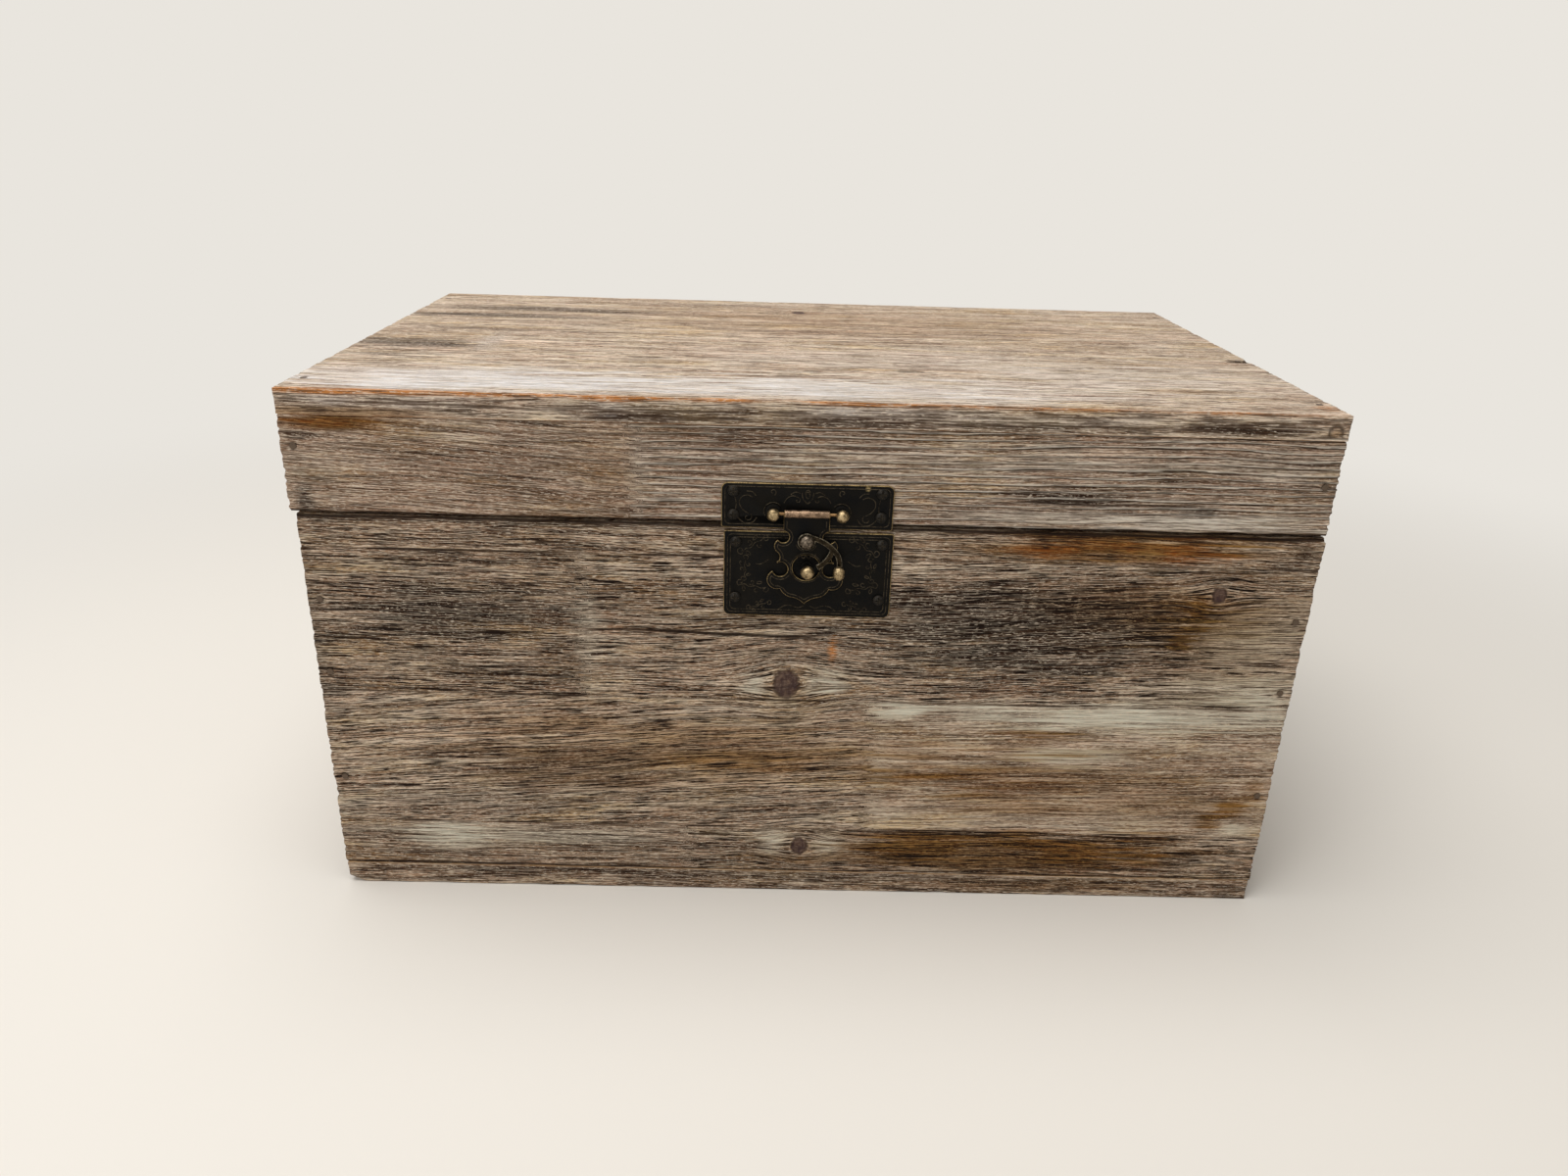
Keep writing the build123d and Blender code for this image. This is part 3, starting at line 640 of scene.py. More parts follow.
# What lies on the wood, from the stain up to the paint, with painted highlights and shadow among it: where,
# its colour, and how it goes on
FIR_LAYERS = (
    ("rosy", "#f7ebe5", "MULTIPLY"), ("ochre", "#f5e6cc", "MULTIPLY"), ("stain", "#7d6653", "MULTIPLY"),
    ("umber", "#5f5148", "MULTIPLY"), ("wash", "paint", "MIX"), ("bare", "#c5834a", "MIX"),
    # lip_highlight and crest are painted highlights, and dip also lays the painted shadow under the crests
    ("flecks", "pale", "MIX"), ("fibres", "#6d5442", "MULTIPLY"), ("lip_highlight", "pale", "MIX"),
    ("crest", "paint", "MIX"), ("amber", "#b7955f", "MULTIPLY"), ("core", "#705d57", "MULTIPLY"),
    ("half", "#6e5b53", "MIX"), ("mottled", "#38292a", "MIX"), ("year", "#3f2c26", "MIX"),
    ("bark", "#2c1e16", "MIX"), ("dip", "groove", "MIX"), ("sawn", "#4f3c2c", "MIX"),
    ("raw", "#b9966d", "MIX"), ("planed", "#8a6743", "MIX"),
)


def brushed_fir(name, level, contrast, dark, mid, **own):
    """Old fir, wire-brushed, stained and washed: grey-brown ridges, open near-black grooves and
    dull thin paint, with nothing that shines, but with painted highlights on ridge crests and groove lips and
    painted shadow under the crests. own holds its colours pale, groove and paint, which these also use."""
    material, tree, shader = new_material(name)
    value = {}
    for key in ("tone", "crack", "knot", "wash", "amber", "umber", "bare", "brushed", "ridged", "end", "raw"):
        value[key] = node(tree, "ShaderNodeAttribute", attribute_name=key).outputs["Fac"]
    grain, lines = (
        node(tree, "ShaderNodeAttribute", attribute_name=key).outputs["Vector"] for key in ("grain", "lines")
    )
    for key, run, pitch, detail in FIR_PATTERNS:
        spaced = node(tree, "ShaderNodeVectorMath", {0: grain, 1: (run, pitch, pitch)}, operation="DIVIDE")
        inputs = {"Vector": spaced, "Scale": 1.0, "Detail": detail, "Roughness": 0.6}
        value[key] = node(tree, "ShaderNodeTexNoise", inputs)
    below = node(tree, "ShaderNodeVectorMath", {0: lines, 1: (0.0, -LIP_HIGHLIGHT_RISE, 0.0)}, operation="ADD")
    value["deep"] = grain_lines(tree, lines, *DEEP_LINES)
    value["fine"] = grain_lines(tree, lines, *FINE_LINES)
    value["below"] = grain_lines(tree, below, *FINE_LINES)
    value["phase"] = ridge_phase(tree, grain)
    flat = node(tree, "ShaderNodeVectorMath", {0: grain, 1: YEAR_RINGS}, operation="MULTIPLY")
    inputs = {"Vector": flat, "Scale": 1.0, "Distortion": 3.0, "Detail": 2.0}
    rings = node(tree, "ShaderNodeTexWave", inputs, wave_type="RINGS", rings_direction="X")
    value["rings"] = rings.outputs["Fac"]

    # tone of the wood: the stave's own, with bands and streaks along the grain
    tones = [("sum", "MULTIPLY_ADD", "tone", STAVE_TONE, level)]
    for key, share in FIR_TONES:
        tones.append(("centred", "ADD", key, -0.5))
        tones.append(("sum", "MULTIPLY_ADD", "centred", share * contrast, "sum"))
    worked_out(tree, value, tones)
    wood = node(tree, "ShaderNodeValToRGB", {0: value["sum"]})
    stops = wood.color_ramp.elements
    stops[0].position, stops[0].color = 0.05, srgb(dark)
    stops[1].position, stops[1].color = 0.95, srgb(own["pale"])
    stops.new(0.5).color = srgb(mid)

    worked_out(tree, value, FIR_STEPS)
    colour = wood
    for key, code, blend in FIR_LAYERS:
        kept = node(tree, "ShaderNodeClamp", {0: value[key]})
        inputs = {0: kept, 6: colour, 7: srgb(own.get(code, code))}
        colour = node(tree, "ShaderNodeMix", inputs, data_type="RGBA", blend_type=blend).outputs[2]
    inputs = {"Height": value["height"], "Strength": 0.6, "Distance": FIBRE_HEIGHT * MM}
    bump = node(tree, "ShaderNodeBump", inputs)
    fill(shader, {"Base Color": colour, "Roughness": value["rough"], "Normal": bump})
    fill(shader, {"Specular IOR Level": FIR_SHINE})
    return material


# The body's fir: darkest and warmest, with open black grooves.
body_fir = brushed_fir(
    "wire_brushed_fir_body", 0.47, 1.4, "#5b4535", "#a0866d",
    pale="#ddceb9", groove="#1a0f08", paint="#d3cebc",
)
# The lid rails' fir: the same stain, a little greyer.
rail_fir = brushed_fir(
    "wire_brushed_fir_rails", 0.45, 1.3, "#65503f", "#9b816b",
    pale="#d8c9b6", groove="#1b110b", paint="#d6cdbf",
)
# The lid top's fir: limed, so that it is pale and its grooves are soft. Its paint is cool and whitish, as it
# also paints a sheen of reflected light at the lid's front.
lid_fir = brushed_fir(
    "limed_fir_lid", 0.67, 1.2, "#836c58", "#b59c82",
    pale="#e6d7c3", groove="#35271e", paint="#dedad8",
)

FRONT_STAVES = (
    (-240, 240, 0, 12, -0.5, 0.0, 1.0), (-240, -55, 0, 37.5, -0.25, 0.0, 0.8),
    (-55, 240, 0, 37.5, -0.1, 0.0, 1.0), (-240, 32, 37.5, 109, 0.65, 0.07, 1.0),
    (32, 240, 37.5, 109, 0.55, 0.02, 0.55), (-240, -105, 109, 181, -0.2, -0.02, 1.0),
    (-105, 240, 109, 181, 0.1, 0.03, 1.1), (-240, 240, 181, 220, 0.1, -0.02, 0.9),
)
FRONT_MARKS = {
    "wash": (
        (145, 104, 110, 9, 1.4), (48, 106, 16, 6, 0.8), (128, 81, 34, 7, 1.2), (200, 120, 45, 10, 0.7),
        (-130, 31, 100, 6, 0.6), (-175, 27, 20, 9, 1.0), (140, 46, 100, 5, 0.25),
        (-101, 145, 7, 34, 0.45), (37, 75, 7, 34, 0.4), (45, 104, 16, 7, 0.9), (-24, 118, 9, 6, 1.1),
        (9, 119, 11, 7, 1.1), (-9, 108, 9, 4, 0.5), (-13, 29, 10, 8, 1.0), (14, 28, 10, 8, 0.9),
        (152, 188, 6, 5, 0.7), (216, 42, 9, 4, 0.8), (208, 146, 32, 26, 0.7), (212, 112, 20, 12, 0.5),
        (200, 190, 16, 5, 0.4),
    ),
    "amber": (
        (-50, 80, 165, 28, 0.6), (140, 64, 110, 26, 0.45), (145, 190, 95, 10, 1.0),
        (110, 24, 125, 16, 0.85), (50, 28, 30, 8, 0.6), (150, 26, 50, 8, 0.4), (150, 160, 60, 20, 0.6),
        (105, 94, 30, 2.0, 0.6), (90, 56, 50, 12, 0.25), (222, 66, 7, 9, 0.5), (213, 54, 8, 7, 0.6),
        (203, 46, 8, 6, 0.7), (-30, 76, 40, 7, 0.25), (195, 150, 50, 42, 0.4), (179, 158, 6, 12, 0.6),
        (172, 144, 6, 7, 0.5),
    ),
    "bare": (
        (104, 188, 17, 5, 0.55), (171, 187, 13, 8, 0.75), (188, 185, 12, 4, 0.6), (136, 191, 30, 3, 0.4),
        (12, 136, 2.4, 7, 1.2),
    ),
    "umber": (
        (-165, 153, 65, 20, 1.0), (100, 150, 95, 27, 1.3), (-165, 50, 60, 9, 0.5),
        (-110, 72, 70, 14, 0.45), (9, 145, 10, 3.4, 1.6), (-30, 150, 60, 2.5, 0.7),
        (70, 24, 60, 10, 0.4), (-40, 55, 90, 6, 0.3), (-140, 121, 60, 5, 0.4), (195, 22, 14, 8, 0.7),
        # (0, 195) along the whole top edge and (221, 189) at its right end are painted shade under the
        # overhanging lid
        (-228, 140, 8, 50, 0.5), (0, 195, 260, 2.6, 0.7), (221, 189, 8, 7, 0.8),
    ),
}
FRONT_CRACKS = (
    (-230, -196, 137, 0.5, 0.9, -0.01), (-105, 8, 144, 0.6, 1.0, -0.02), (-50, 5, 148, 0.4, 0.8, -0.04),
    (-230, -30, 172, 0.3, 0.5, -0.01), (-228, -130, 94, 0.4, 0.8, 0.02), (-60, 26, 76, 0.4, 0.7, 0.05),
    (-170, -40, 59, 0.4, 0.7, 0.04), (40, 150, 131, 0.4, 0.6, 0.0), (60, 200, 116, 0.3, 0.6, 0.0),
    # the crack at 196.7, along the whole top edge, is painted shadow in the gap under the lid
    (20, 190, 36, 0.5, 0.9, 0.0), (-228, 226, 12.4, 0.5, 1.0, 0.0), (-250, 250, 196.7, 1.7, 1.0, 0.0),
    (-250, -60, 12.2, 0.9, 1.0, 0.0), (-70, 10, 144, 0.5, 0.9, -0.02), (140, 226, 179, 0.4, 0.8, 0.0),
    (165, 222, 131, 0.4, 0.6, 0.06), (-110, 20, 98, 0.3, 0.6, 0.01),
)
FRONT_KNOTS = ((-9, 118, 6.6), (187, 168, 3.5), (0, 27, 4.4))

make_board(
    "front_panel", "base", 0, 1, -1, body_fir, "brushed_pine_body", 11, FRONT_STAVES, FRONT_MARKS,
    FRONT_CRACKS, FRONT_KNOTS, nails="front_panel_brads", across_step=0.45,
)


# Bottom board: the same glued fir, laid under the four walls and nailed up into them. Its front
# left corner is worn off underneath.
FOOT_WEAR = (9.0, 40.0, 4.0)  # how far the wear reaches along X, Y and Z
low, high = box_mm("bottom_board")
slant = -1 / np.array(FOOT_WEAR)
make_board(
    "bottom_board", "base", 0, 2, -1, body_fir, "brushed_pine_body", 23,
    ((-240, 240, -160, 0, -0.4, 0.0, 0.8), (-240, 240, 0, 160, -0.2, 0.01, 0.8)),
    marks={"umber": ((0, low[1] - 9, 260, 3, 0.6),), "amber": ((120, low[1] - 6, 80, 5, 0.5),)},
    nails="bottom_board_brads",
    foot=(low + [FOOT_WEAR[0], 0, 0], slant / np.linalg.norm(slant)), across_step=1.5,
)


# Back panel and end panels: boards like the front, without its listed paint patches, so
# their staves and stains are drawn by chance from a fixed seed.
STAVE_SHIFT = 6  # of a row of staves, up or down by chance
STAVE_BEYOND = 30  # the outer staves are drawn past a board's edges, so that they cover them


def chance_staves(low_along, high_along, low_across, high_across, rows, seed):
    """Rows of staves with their joints by chance."""
    rng = np.random.default_rng(seed)
    levels = np.linspace(low_across, high_across, rows + 1)
    levels[1:-1] += rng.uniform(-STAVE_SHIFT, STAVE_SHIFT, rows - 1)
    levels[0] -= STAVE_BEYOND
    levels[-1] += STAVE_BEYOND
    staves = []
    for z_low, z_high in zip(levels, levels[1:]):
        joint = rng.uniform(low_along * 0.6, high_along * 0.6)
        for x_low, x_high in ((low_along - STAVE_BEYOND, joint), (joint, high_along + STAVE_BEYOND)):
            tone, slope, deep = rng.uniform(-0.5, 0.5), rng.uniform(-0.03, 0.04), rng.uniform(0.7, 1.1)
            staves.append((x_low, x_high, z_low, z_high, tone, slope, deep))
    return staves


def chance_marks(low_along, high_along, low_across, high_across, count, seed):
    """Patches of paint and stain by chance."""
    rng = np.random.default_rng(seed)
    marks = {}
    for number in range(count):
        kind, strength = (("wash", 0.8), ("umber", 0.6), ("amber", 0.6))[number % 3]
        place = rng.uniform(low_along, high_along), rng.uniform(low_across, high_across)
        mark = (*place, rng.uniform(25, 90), rng.uniform(4, 16), strength * rng.uniform(0.7, 1.3))
        marks.setdefault(kind, []).append(mark)
    return marks


def chance_board(name, body, along, face, side, finish, slot, seed, rows, patches, **more):
    """A board on edge with so many rows of staves and so many patches, all by chance."""
    low, high = box_mm(name)
    span = (low[along], high[along], low[2], high[2])
    staves, marks = chance_staves(*span, rows, seed), chance_marks(*span, patches, seed + 1)
    make_board(name, body, along, face, side, finish, slot, seed, staves, marks, **more)


KNOT_UP, KNOT_RADIUS = 60, 5.0  # one knot in each of these boards, so far above its lower edge
for name, along, face, side, seed, nails in (
    ("back_panel", 0, 1, 1, 31, "back_panel_brads"),
    ("left_end_panel", 1, 0, -1, 41, None),
    ("right_end_panel", 1, 0, 1, 51, None),
):
    low, high = box_mm(name)
    knot = (low[along] + 0.3 * (high[along] - low[along]), low[2] + KNOT_UP, KNOT_RADIUS)
    chance_board(
        name, "base", along, face, side, body_fir, "brushed_pine_body", seed, 3, 12, nails=nails,
        knots=(knot,),
    )


# Lid rails: four boards on edge, butted like the walls below them. The front one is half smooth
# wood and half strongly ridged, with a finger joint between.
RAIL_GRAIN = {"pitch": 0.6, "run": 18.0}  # of the fine grain, across and along
LID_RAIL_STAVES = ((-260, -78, 190, 260, 0.1, -0.05, 0.55), (-78, 260, 190, 260, 0.05, 0.01, 1.6))
LID_RAIL_MARKS = {
    "ridged": ((-150, 224, 90, 16, 0.75), (-150, 238, 90, 6, 0.6)),
    "amber": ((-205, 238, 32, 4, 1.0), (-88, 222, 14, 24, 0.25), (-60, 238, 25, 4, 0.3)),
    "bare": ((-212, 238, 18, 2, 0.35),),
    "wash": (
        (-76, 224, 5, 22, 0.3), (190, 202, 50, 5, 1.1), (100, 203, 60, 4, 0.8), (50, 228, 160, 4, 0.3),
        (200, 228, 40, 10, 0.35),
    ),
    "umber": (
        (-222, 205, 5, 8, 1.0), (-221, 232, 9, 3, 0.8), (-216, 213, 9, 2, 0.6), (112, 213, 36, 4, 1.0),
        (172, 207, 12, 4, 0.9), (155, 222, 4, 18, 0.3),
    ),
}
LID_RAIL_CRACKS = (
    (-150, -80, 236, 0.35, 0.5, 0.0), (-60, 60, 231, 0.4, 0.6, 0.02), (-70, 110, 224, 0.4, 0.6, 0.02),
    (60, 230, 226, 0.4, 0.5, 0.01), (70, 170, 210, 0.5, 0.8, 0.0), (-230, -170, 215, 0.3, 0.4, 0.0),
    # the crack at 197.3, along the whole lower edge, is painted shadow in the gap over the body
    (-250, 250, 197.3, 1.3, 1.0, 0.0),
)
make_board(
    "lid_front_rail", "lid", 0, 1, -1, rail_fir, "brushed_pine_lid", 61, LID_RAIL_STAVES, LID_RAIL_MARKS,
    LID_RAIL_CRACKS, nails="lid_rail_brads", across_step=0.45, **RAIL_GRAIN,
)
for name, along, face, side, seed, nails in (
    ("lid_back_rail", 0, 1, 1, 71, "lid_rail_brads"),
    ("lid_left_rail", 1, 0, -1, 73, None),
    ("lid_right_rail", 1, 0, 1, 79, None),
):
    chance_board(
        name, "lid", along, face, side, rail_fir, "brushed_pine_lid", seed, 1, 6, nails=nails, **RAIL_GRAIN,
    )


# Lid top board: one wide glued panel nailed down on the rails, thinly limed, with a painted sheen of
# reflected light over the whitewash at its front, its front arris rubbed to bare orange wood and a chip out
# of its right end.
low, high = box_mm("lid_top_board")
front, right = low[1], high[0]
LID_TOP_STAVES = (
    (-260, 260, -200, -50, 0.25, 0.0, 0.8), (-260, -165, -50, 10, -0.2, 0.0, 0.8),
    (-165, 260, -50, 10, 0.1, -0.02, 0.7), (-260, 260, 10, 60, 0.0, 0.02, 0.7),
    (-260, 107, 60, 200, -0.1, 0.0, 0.6), (107, 260, 60, 200, 0.0, 0.0, 0.6),
)
LID_TOP_MARKS = {
    "wash": (
        # the first four patches here, across the front of the top, are thin whitewash and also a painted
        # sheen of light reflected off the top
        (-150, -114, 90, 34, 1.2), (-190, -126, 50, 10, 0.7), (-40, -116, 120, 26, 0.8),
        (40, -110, 120, 30, 0.6), (150, -75, 90, 40, 0.45), (-165, -20, 8, 32, 0.4),
        (60, -40, 120, 30, 0.3), (60, front - 5, 120, 3, 0.3),
    ),
    "umber": (
        (-150, 84, 80, 12, 0.95), (-175, 58, 70, 9, 0.8), (-200, -32, 42, 14, 1.0),
        (-60, 118, 120, 5, 0.4), (60, -8, 90, 5, 0.3), (40, 30, 120, 4, 0.3), (-200, 60, 40, 5, 0.35),
        (-120, 38, 40, 3, 0.4), (-215, -60, 40, 3, 0.7), (-130, 14, 90, 6, 0.25),
        (170, 60, 60, 12, 0.12), (175, -100, 18, 5, 0.4), (-60, front - 6, 260, 6.5, 0.6),
        (40, front - 10, 260, 2.5, 0.5), (180, front - 7, 60, 3, 0.7),
    ),
    "amber": ((20, 60, 160, 60, 0.3), (175, -100, 22, 6, 0.5), (-200, front - 10, 60, 3, 0.7)),
    "bare": (
        (-140, front - 0.1, 190, 2.4, 1.6), (60, front - 0.1, 130, 1.8, 0.8),
        (180, front - 0.1, 70, 1.6, 0.6), (right - 6, -125, 6, 8, 0.5),
    ),
}
LID_TOP_CRACKS = (
    (-200, 60, front - 6, 0.4, 0.8, 0.0), (-100, 200, front - 9, 0.4, 0.9, 0.003),
    (90, 226, front - 4, 0.4, 0.8, -0.005), (108, 128, front - 0.5, 0.4, 0.8, -0.12),
    (128, 150, front - 2.6, 0.3, 0.7, 0.05), (40, 190, -38, 0.3, 0.4, 0.02),
    (-60, 40, -78, 0.3, 0.5, 0.0), (-40, 60, -118, 0.3, 0.5, 0.0),
)
PLUG = (223.9, front - 7.9, 2.9)  # an old filled bolt hole in the front edge
CHIP = (right - 4.0, -22.0, 10.0, 5.0, 2.2)
make_board(
    "lid_top_board", "lid", 0, 2, 1, lid_fir, "brushed_pine_lid", 83, LID_TOP_STAVES, LID_TOP_MARKS,
    LID_TOP_CRACKS, knots=((-4, 97, 4.0),), dents=(CHIP,), plugs=(PLUG,), nails="lid_top_brads",
    across_step=0.7, pitch=0.7, run=22.0,
)


# Brads: thin bright-drawn nails, punched just under the surface and gone dark with age.
brad_steel, tree, shader = new_material("aged_nail_steel")
place = node(tree, "ShaderNodeTexCoord").outputs["Object"]
rust = node(tree, "ShaderNodeTexNoise", {"Vector": place, "Scale": 1 / (0.7 * MM), "Detail": 3.0})
tint = node(tree, "ShaderNodeMix", {0: rust, 6: srgb("#33271f"), 7: srgb("#75624f")}, data_type="RGBA")
rough = node(tree, "ShaderNodeMapRange", {0: rust, 1: 0.3, 2: 0.7, 3: 0.45, 4: 0.75})
fill(shader, {"Base Color": tint.outputs[2], "Roughness": rough, "Metallic": 0.4})
for name in ("front_panel", "back_panel", "bottom_board", "lid_rail", "lid_top"):
    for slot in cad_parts[name + "_brads"].material_slots:
        slot.material = brad_steel


# Hasp plates: two stamped steel plates, one on the lid and one on the body, blackened and then
# rubbed so that the edges and the raised ornament show brass. Four pan-head screws hold each.
EDGE_ROUND = 0.34  # millimetres that handling has taken off the plates' edges
PIT_DEPTH = 0.12
FLAT_ANGLE = math.radians(1)  # faces that turn less than this are made one
SIDE_ON = 0.5  # a face whose normal has less Y than this is a plate's side
GLINT_BRASS = "#94825a"
SMOOTH_ANGLE = math.radians(38)


def metal(name, dark, light, patch, rough, pits, glints=(), metallic=1.0):
    """A metal whose tone changes in patches of so many millimetres, from dark to light, between two
    roughnesses, with pits of a given size. Glints are (X, Z, radius) of small bright spots painted on as
    highlights."""
    material, tree, shader = new_material(name)
    place = node(tree, "ShaderNodeTexCoord").outputs["Object"]
    broad = node(tree, "ShaderNodeTexNoise", {"Vector": place, "Scale": 1 / (patch * MM), "Detail": 5.0})
    fine = node(tree, "ShaderNodeTexNoise", {"Vector": place, "Scale": 1 / (pits * MM), "Detail": 2.0})
    both = node(tree, "ShaderNodeMath", {0: broad, 1: fine}, operation="ADD")
    spread = node(tree, "ShaderNodeMapRange", {0: both, 1: 0.78, 2: 1.25})
    tint = node(tree, "ShaderNodeMix", {0: spread, 6: srgb(dark), 7: srgb(light)}, data_type="RGBA")
    colour = tint.outputs[2]
    # painted glints: each is a small bright brass spot, torn by the pits, standing in for a highlight
    for x, z, radius in glints:
        flat = node(tree, "ShaderNodeVectorMath", {0: place, 1: (1, 0, 1)}, operation="MULTIPLY")
        inputs = {0: flat, 1: (x * MM, 0, z * MM)}
        away = node(tree, "ShaderNodeVectorMath", inputs, operation="DISTANCE").outputs["Value"]
        away = node(tree, "ShaderNodeMath", {0: away, 1: fine}, operation="MULTIPLY")
        worn = node(tree, "ShaderNodeMapRange", {0: away, 1: 0.6 * radius * MM, 2: 0.25 * radius * MM})
        inputs = {0: worn, 6: colour, 7: srgb(GLINT_BRASS)}
        colour = node(tree, "ShaderNodeMix", inputs, data_type="RGBA").outputs[2]
    gloss = node(tree, "ShaderNodeMapRange", {0: broad, 1: 0.35, 2: 0.65, 3: rough[0], 4: rough[1]})
    bump = node(tree, "ShaderNodeBump", {"Height": fine, "Strength": 0.5, "Distance": PIT_DEPTH * MM})
    fill(shader, {"Base Color": colour, "Roughness": gloss, "Normal": bump, "Metallic": metallic})
    return material


# Blackened bronze plate: nearly black, dull, with brown where the black has thinned, and one small painted
# glint near its top edge.
plate_black = metal(
    "blackened_bronze_plate", "#050608", "#17140f", 9.0, (0.48, 0.66), 0.45,
    glints=((24.2, 214.8, 1.1),), metallic=0.85,
)
# Rubbed brass edge: the plating's own yellow, dirty in the low places.
edge_brass = metal("rubbed_brass_edge", "#4a3e2a", "#b0986a", 4.0, (0.35, 0.55), 0.5)
# Relief line: the same black, thinned to a dull brass on its crest.
relief_brass = metal("rubbed_brass_relief", "#141210", "#544b3d", 2.6, (0.4, 0.6), 0.5)


def dressed(name, body, finish, edge_finish, rounding=EDGE_ROUND, edges_too=True, extra=None):
    """A copy of a CAD node with its sharp edges rounded over. The rounding, and the sides of a plate
    if asked for, take the edge's finish; extra gives a third finish to some of the faces."""
    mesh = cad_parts[name].data.copy()
    mesh.materials.clear()
    for finished in (finish, edge_finish) + (() if extra is None else (extra[1],)):
        mesh.materials.append(finished)
    work = merged(mesh)
    bmesh.ops.dissolve_limit(work, angle_limit=FLAT_ANGLE, verts=work.verts, edges=work.edges)
    for face in work.faces:
        face.material_index = int(edges_too and abs(face.normal.y) < SIDE_ON)
        if extra is not None and extra[0](face.calc_center_median() / MM):
            face.material_index = 2
    work.to_mesh(mesh)
    work.free()
    draft = new_object("draft", mesh)
    bevel = draft.modifiers.new("rounding", "BEVEL")
    bevel.width = rounding * MM
    bevel.segments = 2
    bevel.limit_method = "ANGLE"
    bevel.angle_limit = SMOOTH_ANGLE
    bevel.material = 1
    bevel.use_clamp_overlap = False
    rounded = plain_mesh(draft, name)
    rounded.shade_smooth()
    rounded.set_sharp_from_angle(angle=SMOOTH_ANGLE)
    return belongs(new_object("dressed_" + name, rounded), body, name)


def raised_line_tree():
    """Geometry nodes that lay a round wire along smoothed routes, closed at its ends."""
    kinds = {"Routes": "Geometry", "Radius": "Float", "Step": "Float", "Finish": "Material"}
    tree, given = new_geometry_tree("raised_line", "Lines", kinds)
    routes = node(tree, "GeometryNodeMeshToCurve", {"Mesh": given["Routes"]})
    smooth = node(tree, "GeometryNodeCurveSplineType", {"Curve": routes}, spline_type="CATMULL_ROM")
    even = node(tree, "GeometryNodeResampleCurve", {"Curve": smooth, "Length": given["Step"]}, mode="LENGTH")
    inputs = {"Resolution": 8, "Radius": given["Radius"]}
    ring = node(tree, "GeometryNodeCurvePrimitiveCircle", inputs, mode="RADIUS")
    wire = node(tree, "GeometryNodeCurveToMesh", {"Curve": even, "Profile Curve": ring, "Fill Caps": True})
    soft = node(tree, "GeometryNodeSetShadeSmooth", {0: wire})
    return close_tree(tree, soft, given["Finish"])


raised_line = raised_line_tree()


WIRE_SUNK = 0.1  # of the middle of a raised line, under the plate's face
WIRE_STEP = 0.35  # between its points
CURL_STEP = 24  # degrees between the points of a curl
FRAME_STEP = 2.0  # between the points of a raised border
FRAME_CORNER = 2.0  # its radius at the corners
BORDER = 1.7  # from a plate's edge to its raised border
BORDER_GAP = 1.3  # between the two borders of the lower plate


def relief(name, body, finish, face, strokes, radius=0.24):
    """Raised lines on a flat piece whose face is at a Y: each stroke is (closed, points in X and Z)."""
    points, edges = [], []
    for closed, stroke in strokes:
        first = len(points)
        points += [(x * MM, (face + WIRE_SUNK) * MM, z * MM) for x, z in stroke]
        edges += [(k, k + 1) for k in range(first, len(points) - 1)]
        if closed:
            edges.append((len(points) - 1, first))
    mesh = bpy.data.meshes.new(name)
    mesh.from_pydata(points, edges, [])
    settled = settle(mesh, raised_line, Radius=radius * MM, Step=WIRE_STEP * MM, Finish=finish)
    belongs(new_object(name, settled), body)


def spaced_out(outline, spacing):
    """A closed outline with points added along its straight runs."""
    points = []
    for (x, z), (next_x, next_z) in zip(outline, outline[1:] + outline[:1]):
        count = max(1, round(math.hypot(next_x - x, next_z - z) / spacing))
        points += [(x + (next_x - x) * k / count, z + (next_z - z) * k / count) for k in range(count)]
    return points


def around(x, z, radius, degrees):
    """The point at an angle on a circle."""
    angle = math.radians(degrees)
    return x + radius * math.cos(angle), z + radius * math.sin(angle)


def rounded_frame(low, high, inset):
    """A closed rectangle with round corners, inside the edges of a plate's box."""
    reach = inset + FRAME_CORNER
    stroke = []
    for x, z, start in (
        (high[0] - reach, high[2] - reach, 0),
        (low[0] + reach, high[2] - reach, 90),
        (low[0] + reach, low[2] + reach, 180),
        (high[0] - reach, low[2] + reach, 270),
    ):
        stroke += [around(x, z, FRAME_CORNER, start + turn) for turn in (0, 30, 60, 90)]
    return True, spaced_out(stroke, FRAME_STEP)


def curl(x, z, radius, start, turns, end=0.25):
    """A spiral about a middle, from its outer radius inwards; start and turns are in degrees."""
    count = max(4, round(abs(turns) / CURL_STEP))
    stroke = []
    for k in range(count + 1):
        share = k / count
        stroke.append(around(x, z, radius * (1 - (1 - end) * share), start + turns * share))
    return False, stroke


def mirrored(strokes, middle):
    """The same strokes, turned over about an upright line."""
    return [(closed, [(2 * middle - x, z) for x, z in stroke]) for closed, stroke in strokes]


def moved(strokes, x, z, turn, size):
    """Strokes about the origin, turned, enlarged and moved."""
    c, s = size * math.cos(math.radians(turn)), size * math.sin(math.radians(turn))
    return [
        (closed, [(x + c * a - s * b, z + s * a + c * b) for a, b in stroke]) for closed, stroke in strokes
    ]


